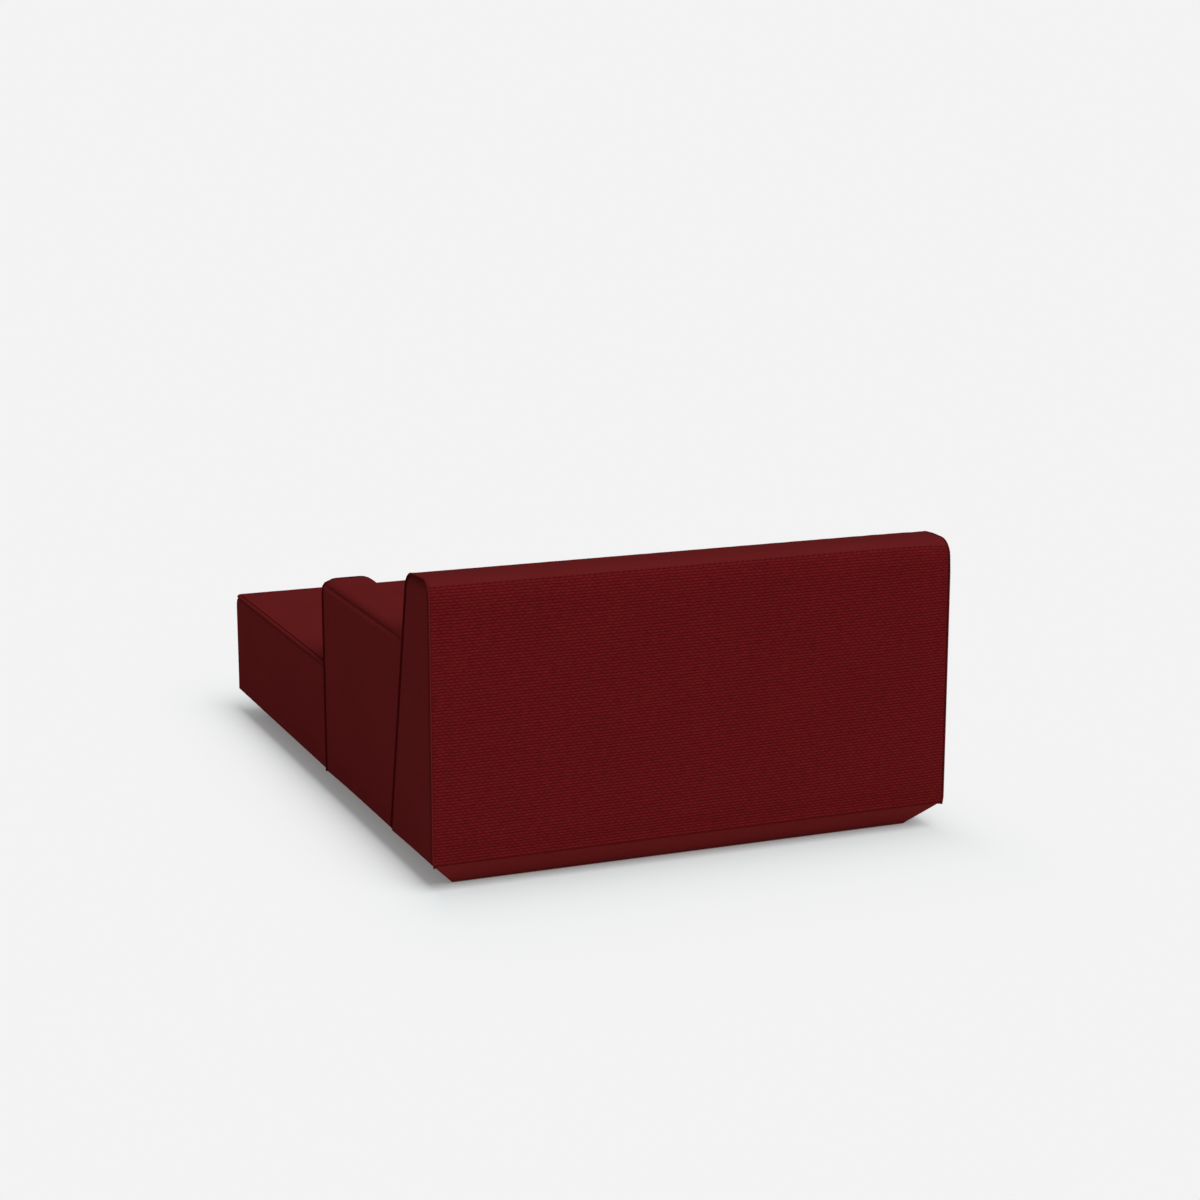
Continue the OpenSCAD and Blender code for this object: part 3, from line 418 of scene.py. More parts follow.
# Outlines and grids

def spaced(length, pitch=PITCH, fine=True):
    """Distances from 0 to length, close together near both ends."""
    ends = ENDS if fine else ENDS[:1]
    inner = length - 2 * ends[-1]
    middle = ends[-1] + inner * np.linspace(0, 1, max(2, round(inner / pitch) + 1))[1:-1]
    return np.concatenate([ends, middle, length - ends[::-1]])


def turn_left(vector):
    return np.array([-vector[1], vector[0]])


def rounded_corner(before, at, after, radius):
    """Points of a corner's arc, or the corner itself."""
    if radius == 0:
        return at[None]
    u = (at - before) / np.linalg.norm(at - before)
    v = (after - at) / np.linalg.norm(after - at)
    side = math.copysign(1, u[0] * v[1] - u[1] * v[0])
    turn = math.acos(max(-1, min(1, float(u @ v))))
    inward = side * turn_left(u) * radius
    start = at - u * radius * math.tan(turn / 2)
    angle = (ARC * turn)[:, None]
    return start + inward * (1 - np.cos(angle)) + u * radius * np.sin(angle)


def outline(points, radii, pitch=PITCH, closed=True, cuts=None, fine_ends=False):
    """Rounded outline, with its straight sides cut into equal lengths.
    Returns the points and the cuts, which another outline can share."""
    points = np.array(points, float)
    n = len(points)
    arcs = [
        rounded_corner(points[i - 1], points[i], points[(i + 1) % n], radii[i]) for i in range(n)
    ]
    made, used = [], []
    for i in range(n):
        made.append(arcs[i])
        if i == n - 1 and not closed:
            break
        a, b = arcs[i][-1], arcs[(i + 1) % n][0]
        if cuts:
            shares = cuts[i]
        else:
            length = np.linalg.norm(b - a)
            fine = fine_ends and not closed and i in (0, n - 2)
            shares = spaced(length, pitch, fine)[1:-1] / length
            if fine and i == 0 and n > 2:
                shares = shares[shares < 1 - ENDS[-1] / length]
            if fine and i == n - 2 and n > 2:
                shares = shares[shares > ENDS[-1] / length]
        used.append(shares)
        made.append(a + (b - a) * np.asarray(shares)[:, None])
    made = np.concatenate(made)
    if closed:
        made = np.concatenate([made, made[:1]])
    return made, used


def joined(*parts):
    """Points from the values of their coordinates."""
    return np.stack(np.broadcast_arrays(*parts), axis=-1)


def run_lengths(points):
    """Distance along a line of points, at each point."""
    steps = np.linalg.norm(np.diff(points, axis=0), axis=1)
    return np.concatenate([[0], np.cumsum(steps)])


def wedge(foot, outer, top_w, top_z, fall, radii, low):
    """Corners and radii of a wedge's cross-section, round from the foot of the outer
    side, with the level and the depth at which that side starts."""
    return (
        [(outer - low, PLINTH_Z - low), (outer, PLINTH_Z), (outer, top_z),
         (outer - top_w, top_z - fall), (foot, PLINTH_Z)],
        [0, 0.006, radii[0], radii[1], 0],
    )


def moved_wedge(form, out, inner, up):
    """Corners and radii of a wedge with its outer side, its leaning side and its top
    moved outwards, from the foot of the outer side."""
    foot, outer, top_w, top_z, fall, radii = form
    foot -= inner * math.hypot(1, SLOPE)
    tilt = fall / top_w
    raised = top_z + up * math.hypot(1, tilt)
    inner_z = (raised - (outer - foot + PLINTH_Z * SLOPE) * tilt) / (1 - SLOPE * tilt)
    inner_at = foot + (inner_z - PLINTH_Z) * SLOPE
    return (
        [(outer + out, PLINTH_Z), (outer + out, raised + out * tilt), (inner_at, inner_z),
         (foot, PLINTH_Z)],
        [0, radii[0] + out, radii[1] + out, 0],
    )


BACK = (BACK_FOOT_Y, REAR_Y, BACK_TOP_D, BACK_TOP_Z, BACK_TOP_FALL, BACK_RADII)
ARM = (ARM_FOOT_X, SIDE_X, ARM_TOP_W, ARM_TOP_Z, 0, ARM_RADII)
ARM_FRONT = ARM[:5] + (ARM_FRONT_RADII,)


def back_face(z, gap=0.0):
    """Y of the backrest's leaning face, or of what stands off it."""
    return BACK_FOOT_Y - gap + (z - PLINTH_Z) * SLOPE


def arm_face(z, gap=0.0):
    """X of the armrest's leaning face, or of what stands off it."""
    return ARM_FOOT_X - gap + (z - PLINTH_Z) * SLOPE


def seat_corners(z, inset=0.0, bevel=0.0):
    """Corners of the seat's plan at one height, anticlockwise from the front."""
    side = SIDE_X - inset - bevel
    step = ARM_Y - MODULE_GAP - inset
    arm_x = arm_face(z, MODULE_GAP + inset)
    back_y = back_face(z, MODULE_GAP + inset)
    front = FRONT_Y + inset + bevel
    return [(-side, front), (side, front), (side, step), (arm_x, step), (arm_x, back_y),
            (-side, back_y)]


def grid_normals(points):
    """Unit normals of a grid of points."""
    across = np.gradient(points, axis=1)
    along = np.gradient(points, axis=0)
    normals = np.cross(across, along)
    size = np.linalg.norm(normals, axis=2, keepdims=True)
    return normals / np.maximum(size, 1e-12)


def smooth_step(value, low, high):
    """0 below low, 1 above high and smooth between them."""
    share = np.clip((value - low) / (high - low), 0, 1)
    return share * share * (3 - 2 * share)


def rolled(distance, radius=ROLL, depth=ROLL):
    """How far cloth dips where it turns in to a seam."""
    left = np.clip(1 - distance / radius, 0, 1)
    return depth * (1 - np.sqrt(1 - left**2)) + 0.0005 * np.exp(-distance / 0.009)


def puckers(along, distance, size=0.0005, seed=0):
    """Small gathers that run out from a seam."""
    wave = sum(np.sin(along * k + seed * 1.7 + phase) for k, phase in PUCKERS)
    fade = np.exp(-distance / 0.022) * smooth_step(distance, 0, 0.006)
    return size * wave / len(PUCKERS) * fade


def swollen(distance):
    """Crown of a taut cover over foam, at a distance from its seams."""
    return CROWN * (1 - np.exp(-distance / 0.05))


class Case:
    """Padding that swells inside one module's cover. It is simulated once, and any panel
    of the cover then asks how far it stands out."""

    def __init__(self, low_loop, high_loop, held):
        self.tree = None
        self.moves = None
        self.simulate(low_loop, high_loop, held)

    def simulate(self, low_loop, high_loop, held):
        form = prism("case", low_loop, high_loop)
        modifier = form.modifiers.new("remesh", "REMESH")
        modifier.mode = "VOXEL"
        modifier.voxel_size = CASE_VOXEL
        replace_mesh(form)
        before = vertices(form)
        pins = form.vertex_groups.new(name="held")
        pins.add([int(i) for i in np.nonzero(held(before))[0]], 1, "REPLACE")
        cloth = form.modifiers.new("cloth", "CLOTH")
        for key, value in CASE_CLOTH.items():
            setattr(cloth.settings, key, value)
        cloth.settings.effector_weights.gravity = 0
        cloth.point_cache.frame_end = CASE_STEPS
        for step in range(1, CASE_STEPS + 1):
            bpy.context.scene.frame_set(step)
        shaped = form.evaluated_get(bpy.context.evaluated_depsgraph_get())
        self.moves = vertices(shaped) - before
        self.tree = KDTree(len(before))
        for i, point in enumerate(before):
            self.tree.insert(point, i)
        self.tree.balance()
        bpy.data.objects.remove(form, do_unlink=True)
        bpy.context.scene.frame_set(1)

    def lift(self, points, normals, distance):
        """How far points stand out along their normals, at a distance from the seams."""
        if self.tree is None:
            return swollen(distance)
        flat = points.reshape(-1, 3)
        away = normals.reshape(-1, 3)
        found = np.empty(len(flat))
        for i, point in enumerate(flat):
            near = self.tree.find_n(point, 4)
            weights = np.array([1 / (gap + 0.004) for _, _, gap in near])
            moves = self.moves[[index for _, index, _ in near]]
            found[i] = (weights @ moves) @ away[i] / weights.sum()
        found = np.maximum(found.reshape(distance.shape), SUNK)
        return CROWN * np.tanh(found / CROWN) * smooth_step(distance, 0, 0.03)


def vertices(obj):
    """Vertex places of a mesh object."""
    places = np.empty(len(obj.data.vertices) * 3)
    obj.data.vertices.foreach_get("co", places)
    return places.reshape(-1, 3)


def replace_mesh(obj):
    """Applies an object's modifiers."""
    shaped = obj.evaluated_get(bpy.context.evaluated_depsgraph_get())
    mesh = bpy.data.meshes.new_from_object(shaped)
    obj.modifiers.clear()
    obj.data = mesh


def new_object(name, points, faces):
    """Mesh object from points and faces."""
    mesh = bpy.data.meshes.new(name)
    mesh.from_pydata([tuple(p) for p in points], [], [tuple(f) for f in faces])
    mesh.validate()
    obj = bpy.data.objects.new(name, mesh)
    bpy.context.scene.collection.objects.link(obj)
    return obj


def prism(name, low_loop, high_loop):
    """Closed form between two loops with the same number of points."""
    n = len(low_loop)
    sides = [(i, (i + 1) % n, n + (i + 1) % n, n + i) for i in range(n)]
    caps = [tuple(range(n))[::-1], tuple(range(n, 2 * n))]
    obj = new_object(name, np.concatenate([low_loop, high_loop]), sides + caps)
    mesh = bmesh.new()
    mesh.from_mesh(obj.data)
    bmesh.ops.recalc_face_normals(mesh, faces=mesh.faces)
    mesh.to_mesh(obj.data)
    mesh.free()
    return obj


def lay_map(obj, name, places):
    """Gives a piece a map with one place for each vertex."""
    layer = obj.data.uv_layers.new(name=name)
    corners = np.empty(len(obj.data.loops), int)
    obj.data.loops.foreach_get("vertex_index", corners)
    layer.data.foreach_set("uv", places[corners].ravel())


def finish_cloth(obj, cloth, material, thickness):
    """Lays the cloth's own map on a piece, smooths it and gives it thickness."""
    lay_map(obj, "cloth", cloth)
    obj.data.materials.append(MATERIALS[material])
    obj.data.polygons.foreach_set("use_smooth", [True] * len(obj.data.polygons))
    if thickness:
        solid = obj.modifiers.new("thickness", "SOLIDIFY")
        solid.thickness = thickness
        solid.offset = -1
    return obj


def grid_faces(rows, columns, first=0):
    """Faces between the points of a grid, by the points' numbers."""
    index = first + np.arange(rows * columns).reshape(rows, columns)
    return np.stack([index[:-1, :-1], index[:-1, 1:], index[1:, 1:], index[1:, :-1]], axis=-1)


def cloth_map(across, along):
    """A grid's place on the cloth, from the distances of its columns and its rows."""
    return joined(across[None], along[:, None])


def from_ends(lengths):
    """Distance from the nearer end of a run."""
    return np.minimum(lengths, lengths[-1] - lengths)


def grid_piece(name, node, points, cloth, centre, material="weave", thickness=CLOTH_T,
               keep=None):
    """Piece of cloth from a grid of points, facing away from centre, in place of a CAD node."""
    faces = grid_faces(*points.shape[:2])
    faces = faces[keep] if keep is not None else faces.reshape(-1, 4)
    flat = points.reshape(-1, 3)
    a, b, c = (flat[faces[:, k]] for k in (0, 1, 3))
    outward = np.einsum("ij,ij->i", np.cross(b - a, c - a), a - np.array(centre))
    if outward.sum() < 0:
        faces = faces[:, ::-1]
    used = np.unique(faces)
    renumber = np.full(len(flat), -1)
    renumber[used] = np.arange(len(used))
    obj = new_object(name, flat[used], renumber[faces])
    cloth = cloth.reshape(-1, 2)
    finish_cloth(obj, cloth[used], material, thickness)
    return place_piece(obj, node)


def facing(points, centre):
    """Normals of a grid that point away from centre."""
    normals = grid_normals(points)
    away = np.einsum("ijk,ijk->", normals, points - np.array(centre))
    return normals if away > 0 else -normals


def place_piece(obj, node):
    """Puts a piece on the body that its name begins with, in place of a CAD node."""
    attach(obj, BODIES[obj.name.split("_")[0]])
    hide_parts(node)
    return obj


# Seat module

SEAT_CENTRE = (0, 0, 0.2)
FOOT_CENTRE = (0, 0, 1)
SEAT_RADII = 2 * [CORNER_R] + 4 * [INNER_R]
SIDE_TOP_Z = 0.3493
SIDE_HEM = 0.005
EDGE_ROLL = 0.0066
# Section of the edge band: how far inside the seat's plan, and how high over its top
BAND_SECTION = np.array([
    (0.0060, -0.0084), (0.0022, -0.0078), (0.0004, -0.0062), (0.0000, -0.0036),
    (0.0008, -0.0010), (0.0024, 0.0006), (0.0045, 0.0012), (0.0066, 0.0010),
    (0.0083, 0.0003), (0.0093, -0.0010), (0.0098, -0.0030), (0.0106, -0.0042),
    (0.0150, -0.0042),
])


def seat_loops(heights, insets, bevels):
    """Rounded plans of the seat at several heights, as one grid."""
    cuts = None
    rows = []
    for z, inset, bevel in zip(heights, insets, bevels):
        softer = 0.014 * smooth_step(z, SEAT_Z - 0.032, SEAT_Z)
        radii = [max(r + softer * (r == CORNER_R) - inset, 0.001) for r in SEAT_RADII]
        plan, cuts = outline(seat_corners(z, inset, bevel), radii, cuts=cuts)
        rows.append(joined(*plan.T, z))
    return np.array(rows)


def seat_mating(points):
    """1 on the seat's outer faces, and 0 where it meets another module."""
    x, y, z = np.moveaxis(points, -1, 0)
    back = np.abs(y - back_face(z))
    side = np.where(y > ARM_Y - 0.01, np.maximum(arm_face(z) - x, 0), 1)
    step = np.where(x > arm_face(z) - 0.01, np.abs(y - ARM_Y), 1)
    return smooth_step(np.minimum(np.minimum(back, step), side), 0.004, 0.03)


def seat_held(points):
    """Where the seat's padding can't swell."""
    z = points[:, 2]
    rim = (z < PLINTH_Z + HELD) | (np.abs(z - SEAT_Z) < HELD) & (seat_border(points) < 0.02)
    return rim | (seat_mating(points) < 0.5) & (z < SEAT_Z - 0.01)


def seat_border(points):
    """Distance in plan from the seat's top edges."""
    plan = np.array(seat_corners(SEAT_Z))
    return line_distance(points[..., :2], np.vstack([plan, plan[:1]]))


def line_distance(points, line):
    """Distance of plane points from a line of points."""
    best = np.full(points.shape[:-1], np.inf)
    for a, b in zip(line[:-1], line[1:]):
        span = b - a
        share = np.clip(((points - a) @ span) / max(span @ span, 1e-18), 0, 1)
        gap = np.linalg.norm(points - a - share[..., None] * span, axis=-1)
        best = np.minimum(best, gap)
    return best


def make_seat_sides(case):
    rise = spaced(SIDE_TOP_Z - PLINTH_Z + SIDE_HEM)
    z = PLINTH_Z - SIDE_HEM + rise
    points = seat_loops(z, np.zeros(len(z)), np.maximum(PLINTH_Z - z, 0))
    normals = facing(points, SEAT_CENTRE)
    along = run_lengths(points[len(z) // 2])
    distance = from_ends(rise)[:, None] * np.ones(points.shape[:2])
    outer = seat_mating(points)
    lift = case.lift(points, normals, distance) * outer
    lift -= (rolled(rise) * SHALLOW + rolled(rise[-1] - rise, EDGE_ROLL, EDGE_ROLL))[:, None]
    lift += puckers(along[None], distance, 0.0004, 1) * outer
    points = points + normals * lift[..., None]
    grid_piece("seat_side_cover", "seat_cover_sides", points, cloth_map(along, rise), SEAT_CENTRE)


def make_seat_edge():
    inset, over = BAND_SECTION.T
    points = seat_loops(SEAT_Z + over, inset, np.zeros(len(over)))
    along = run_lengths(points[6])
    ripple = 1 + 0.08 * np.sin(along * 61) + 0.06 * np.sin(along * 97 + 1)
    height = points[..., 2] - SEAT_Z
    points[..., 2] = SEAT_Z + np.where(height > 0, height * ripple[None], height)
    cloth = cloth_map(along, run_lengths(BAND_SECTION))
    grid_piece("seat_edge_band", "seat_cover_edge", points, cloth, SEAT_CENTRE, thickness=BAND_T)


def make_seat_top(case):
    inner = np.array(seat_corners(SEAT_Z, BAND_W))
    left, right, notch_x = inner[0, 0], inner[1, 0], inner[3, 0]
    front, step, back = inner[0, 1], inner[2, 1], inner[4, 1]
    x = np.concatenate([
        left + spaced(notch_x - left)[:-1], notch_x + spaced(right - notch_x)
    ])
    y = np.concatenate([front + spaced(step - front)[:-1], step + spaced(back - step)])
    points = joined(x[None], y[:, None], SEAT_Z)
    distance = line_distance(points[..., :2], np.vstack([inner, inner[:1]]))
    normals = np.broadcast_to(np.array([0, 0, 1.0]), points.shape)
    lift = case.lift(points, normals, distance) - rolled(distance, 0.0026, 0.0038)
    lift += puckers(points[..., 0] + points[..., 1], distance, 0.0005, 2)
    cloth = points[..., :2].copy()
    points[..., 2] += lift
    middle_x, middle_y = (x[:-1] + x[1:]) / 2, (y[:-1] + y[1:]) / 2
    in_notch = (middle_x > notch_x)[None] & (middle_y > step)[:, None]
    grid_piece("seat_top_cover", "seat_cover_top", points, cloth, SEAT_CENTRE, keep=~in_notch)


def foot_heights():
    """Heights of the rows of a foot cover, with two at the edges of its slits."""
    z = FOOT_Z + spaced(PLINTH_Z - FOOT_SEAM - FOOT_Z, 0.02)
    return np.sort(np.concatenate([z, SLIT_Z]))


def beside_slits(points):
    """Faces of a foot cover that stay round the slits for the steel tongues."""
    corners = points[:-1, :-1], points[1:, :-1], points[:-1, 1:], points[1:, 1:]
    low, high = np.minimum.reduce(corners), np.maximum.reduce(corners)
    middle = (low + high) / 2
    level = (middle[..., 2] > SLIT_Z[0]) & (middle[..., 2] < SLIT_Z[1])
    by_back = np.abs(middle[..., 1] - back_face(middle[..., 2])) < 0.003
    by_arm = np.abs(middle[..., 0] - arm_face(middle[..., 2])) < 0.003
    keep = np.ones(level.shape, bool)
    for axis, face, centres in ((0, by_back, BACK_TONGUES_X), (1, by_arm, ARM_TONGUES_Y)):
        for centre in centres:
            along = np.abs(middle[..., axis] - centre)
            reach = (high[..., axis] - low[..., axis] + TONGUE_W) / 2
            keep &= ~(level & face & (along < reach))
    return keep


def make_foot(name, points, centre, distance, outer, node):
    """Smooth cover of a module's foot, which dips at a distance of 0 from its seams where
    it is an outer face."""
    z = points[:, 0, 2]
    cloth = cloth_map(run_lengths(points[-1]), (z - z[0]) * math.sqrt(2))
    dip = rolled(distance * np.ones(points.shape[:2])) * SHALLOW * outer
    points = points - facing(points, centre) * dip[..., None]
    grid_piece(name, node, points, cloth, centre, "smooth_cloth", keep=beside_slits(points))


def make_wedge_foot(name, plan, centre, node):
    """Cover of a wedge module's foot, from its plan's corners at a height and a bevel."""
    z = foot_heights()
    cuts, rows = None, []
    for height in z:
        line, cuts = outline(plan(height, PLINTH_Z - height), 4 * [INNER_R], cuts=cuts)
        rows.append(joined(*line.T, height))
    make_foot(name, np.array(rows), centre, (z[-1] - z)[:, None], 1, node)


def make_seat():
    loops = seat_loops([PLINTH_Z, SEAT_Z], [0, 0], [0, 0])
    case = Case(loops[0][:-1], loops[1][:-1], seat_held)
    make_seat_sides(case)
    make_seat_edge()
    make_seat_top(case)
    z = foot_heights()
    points = seat_loops(z, np.full(len(z), FOOT_IN), PLINTH_Z - z)
    distance = from_ends(z - z[0])[:, None]
    make_foot("seat_foot_cover", points, FOOT_CENTRE, distance, seat_mating(points),
              "seat_cover_foot")


# Backrest and armrest

def wedge_path(form, low):
    """Cross-section of a wedge's cover, from the foot of the outer side over the top
    to the foot of the leaning face."""
    corners, radii = wedge(*form, low)
    return outline(corners, radii, closed=False, fine_ends=True)[0]


def wedge_loop(form):
    """Closed cross-section of a wedge."""
    corners, radii = wedge(*form, 0)
    return outline(corners[1:], [0] + radii[2:])[0][:-1]


def coons(sides):
    """Grid inside four lines of points: bottom, right, top, left, end to end."""
    bottom, right, top, left = sides
    top, left = top[::-1], left[::-1]
    u = run_lengths(bottom) / run_lengths(bottom)[-1]
    v = run_lengths(right) / run_lengths(right)[-1]
    u, v = u[None, :, None], v[:, None, None]
    across = (1 - v) * bottom[None] + v * top[None]
    along = (1 - u) * left[:, None] + u * right[:, None]
    corners = ((1 - u) * (1 - v) * bottom[0] + u * (1 - v) * bottom[-1]
               + (1 - u) * v * top[0] + u * v * top[-1])
    return across + along - corners


def resample(line, shares):
    """Points of a line at shares of its length."""
    length = run_lengths(line)
    return np.stack(
        [np.interp(shares * length[-1], length, line[:, k]) for k in (0, 1)], axis=-1
    )


def panel_grid(form):
    """Grid that fills a wedge's end panel, each point's distance from the outer and top
    edges, and that from the leaning edge."""
    corners, radii = moved_wedge(form, -PANEL_IN, -PANEL_INNER_IN, -PANEL_IN)
    loop = outline(corners, radii, pitch=0.006)[0]
    length = run_lengths(loop)
    marks = []
    for corner in np.array(corners, float):
        marks.append(length[np.argmin(np.linalg.norm(loop[:-1] - corner, axis=1))])
    marks.append(length[-1])
    sides = []
    for low, high in zip(marks[:-1], marks[1:]):
        inside = (length > low + 1e-9) & (length < high - 1e-9)
        ends = [np.interp([low, high], length, loop[:, k]) for k in (0, 1)]
        line = np.vstack([[ends[0][0], ends[1][0]], loop[inside], [ends[0][1], ends[1][1]]])
        sides.append(line)
    outer, top, inner, bottom = sides
    across = spaced(run_lengths(bottom)[-1])
    up = spaced(run_lengths(outer)[-1])
    across, up = across / across[-1], up / up[-1]
    grid = coons([
        resample(bottom, across), resample(outer, up),
        resample(top, 1 - across[::-1]), resample(inner, 1 - up[::-1]),
    ])
    return grid, line_distance(grid, np.vstack([outer, top])), line_distance(grid, inner)


def refined(path, at, reach=0.015, pitch=0.0015):
    """Path with more points near one distance along it."""
    along = run_lengths(path)
    near = np.arange(at - reach, at + reach, pitch)
    where = np.unique(np.concatenate([along, near]).round(6))
    return np.stack([np.interp(where, along, path[:, k]) for k in (0, 1)], axis=-1)


def crease_place(path):
    """Distance along the armrest's path at which its crease lies."""
    low = path[:, 0] > SIDE_X - ARM_RADII[0]
    return np.interp(CREASE_Z, path[low, 1], run_lengths(path)[low])


def hem_share(up):
    """Share of a groove's depth at a height over the hem, where it is shallower."""
    return SHALLOW + (1 - SHALLOW) * smooth_step(up, 0, 0.03)


def make_band(name, form, run, place, node, material, case, mating, centre):
    """Cover over the outer side, the top and the leaning face of a wedge, from its path
    and the run across it. mating is 0 where another module touches the cover."""
    path = wedge_path(form, FOOT_SEAM)
    if form is ARM:
        path = refined(path, crease_place(path))
    along, across = run_lengths(path), spaced(run)
    points = place(path[:, None], (across / across[-1])[None])
    normals = facing(points, centre)
    low, side = from_ends(along)[:, None], from_ends(across)[None]
    free = mating(points)
    lift = case.lift(points, normals, np.minimum(side, low)) * free
    if form is ARM:
        groove = rolled(side, EDGE_GROOVE_W, EDGE_GROOVE) * hem_share(low)
    else:
        groove = rolled(side) * SHALLOW * 0.6
    lift = lift - np.maximum(groove, rolled(low) * SHALLOW)
    lift += puckers(along[:, None], side, 0.0005, 3) * free
    lift += puckers(across[None], low, 0.0004, 4) * free
    lift += top_ripples(points, form, across[None]) * free
    if form is ARM:
        lift += creased(path, along)[:, None] * smooth_step(side, 0, 0.02)
    points = points + normals * lift[..., None]
    if form is BACK:
        points = settled(points)
    else:
        points = drawn_to_lip(dropped(points, points[..., 1] - ARM_Y))
    grid_piece(name, node, points, cloth_map(across, along), centre, material)


def dropped(points, along):
    """Points of a cover's hem on the outer side, hanging lower near the seam that pulls
    it down. along is the distance from that seam."""
    z = points[..., 2]
    low = 1 - smooth_step(z, PLINTH_Z + 0.002, PLINTH_Z + 0.06)
    outer = smooth_step(np.abs(points[..., 0]), SIDE_X - 0.02, SIDE_X - 0.01)
    drop = HEM_DROP * low * outer * np.exp(-np.maximum(along, 0) / HEM_REACH)
    inward = -np.sign(points[..., 0]) * drop * (z < PLINTH_Z - 0.001)
    return points + joined(inward, 0, -drop)


def corner_turn(x, z, radius):
    """Angle round the armrest's outer corner, from 0 at its side to half pi at its top."""
    turn = np.arctan2(z - ARM_TOP_Z + radius, x - SIDE_X + radius)
    return np.clip(turn, 0, math.pi / 2)


def drawn_to_lip(points):
    """Points of the armrest's cover, its outer corner drawn in to the wider corner of the
    seam lip at the front."""
    x, y, z = points[..., 0], points[..., 1], points[..., 2]
    room = (1 - math.sqrt(0.5)) * (ARM_FRONT_RADII[0] - ARM_RADII[0])
    near = np.exp(-np.maximum(y - ARM_Y, 0) / 0.035)
    move = room * near * np.sin(2 * corner_turn(x, z, ARM_RADII[0])) ** 2
    return points - move[..., None] * np.array([1, 0, 1])


def creased(path, along):
    """Soft crease where the armrest's top padding meets its outer side."""
    away = along - crease_place(path)
    fold = -CREASE * np.exp(-(away / CREASE_W) ** 2)
    top = 0.0022 * smooth_step(away, 0, 0.014) * (1 - smooth_step(away, 0.02, 0.09))
    side = 0.0012 * smooth_step(-away, 0, 0.014) * (1 - smooth_step(-away, 0.02, 0.09))
    return fold + top + side


def top_ripples(points, form, across):
    """Loose ripples over a wedge's top, strongest towards its first end."""
    height = smooth_step(points[..., 2], form[3] - 0.03, form[3] - 0.012)
    wave = np.sin(across * 140 + 0.8 * np.sin(across * 23)) + np.sin(across * 87 + 2)
    return 0.00016 * wave * height * (0.4 + 0.9 * np.exp(-across / 0.35))


def back_place(path, share):
    """Point of the backrest's cross-section, from the end at -X to the end at +X."""
    x = (2 * share - 1) * (SIDE_X - LIP_W)
    return joined(x, path[..., 0], path[..., 1])


def arm_place(path, share):
    """Point of the armrest's cross-section, from the front to the backrest."""
    front = ARM_Y + ARM_LIP_W
    rear = back_face(path[..., 1], ARM_REAR_GAP)
    y = front + (rear - front) * share
    return joined(path[..., 0], y, path[..., 1])


def back_free(points):
    """1 on the backrest's free faces, and 0 where the other modules touch it."""
    x, y, z = points[..., 0], points[..., 1], points[..., 2]
    leaning = np.abs(y - back_face(z)) < 0.02
    by_seat = smooth_step(z, SEAT_Z, SEAT_Z + 0.04)
    by_arm = np.maximum(smooth_step(arm_face(z) - x, -0.01, 0.03),
                        smooth_step(z, ARM_TOP_Z, ARM_TOP_Z + 0.03))
    return np.where(leaning, by_seat * by_arm, 1)


def arm_free(points):
    """1 on the armrest's free faces, and 0 where the other modules touch it."""
    x, y, z = points[..., 0], points[..., 1], points[..., 2]
    leaning = np.abs(x - arm_face(z)) < 0.02
    by_seat = np.where(leaning, smooth_step(z, SEAT_Z, SEAT_Z + 0.04), 1)
    return by_seat * smooth_step(back_face(z) - y, 0.003, 0.04)


def settled(points):
    """Points of the backrest, with its slack corner at the rear right sunk in."""
    x, y, z = points[..., 0], points[..., 1], points[..., 2]
    near = np.exp(-np.maximum(x + SIDE_X, 0) / SETTLED_REACH)
    high = smooth_step(z, BACK_TOP_Z - 0.10, BACK_TOP_Z - 0.01)
    corner = smooth_step(y, REAR_Y - 0.10, REAR_Y - 0.01) * high
    move = joined(0, 0.6 * corner, 0.8 * corner + 0.25 * high)
    return points - SETTLED * near[..., None] * move


def make_panel(name, form, place, case, free, centre, seed, wrap=(0, 0)):
    """End panel of a wedge, inside its seam lip. Its hem goes down to the foot's cover,
    and wrap is the hem's shift in X and Y."""
    grid, by_rim, by_lean = panel_grid(form)
    beside = np.minimum(by_rim, by_lean)
    points = place(grid)
    outward = facing(points, centre)[2:-2, 2:-2].mean(axis=(0, 1))
    outward /= np.linalg.norm(outward)
    up = grid[..., 1] - PLINTH_Z
    outwards = np.broadcast_to(outward, points.shape)
    lift = case.lift(points, outwards, np.minimum(beside, up)) * PANEL_SWELL
    groove = np.maximum(rolled(by_rim, GROOVE_W, GROOVE), rolled(by_lean, GROOVE_W, LEAN_GROOVE))
    lift -= groove * hem_share(up)
    lift += puckers(grid[..., 0] + grid[..., 1], beside, 0.0004, seed)
    points = points + outward * (lift * free)[..., None]
    hem = points[:1] + np.array([*wrap, -FOOT_SEAM])
    hem[..., 0] = np.minimum(hem[..., 0], SIDE_X - HEM_IN)
    hem[..., 1] = np.minimum(hem[..., 1], REAR_Y - FOOT_SEAM)
    points = np.concatenate([hem, points])
    cloth = np.concatenate([grid[:1] - np.array([0, HEM_LENGTH]), grid])
    by_rim = np.concatenate([by_rim[:1], by_rim])
    if form is BACK:
        points = settled(points)
        points = dropped(points, points[..., 1] - back_face(points[..., 2]))
        obj = grid_piece(name, "back_cover_ends", points, cloth, centre, "panel_weave")
        # Distance from the outer and top edges, by which the cloth there is darkened as painted
        # shade
        lay_map(obj, "rim", joined(by_rim.ravel(), 0.0))
        obj.data.uv_layers.active_index = 0
    else:
        grid_piece(name, "arm_cover_ends", points, cloth, centre)


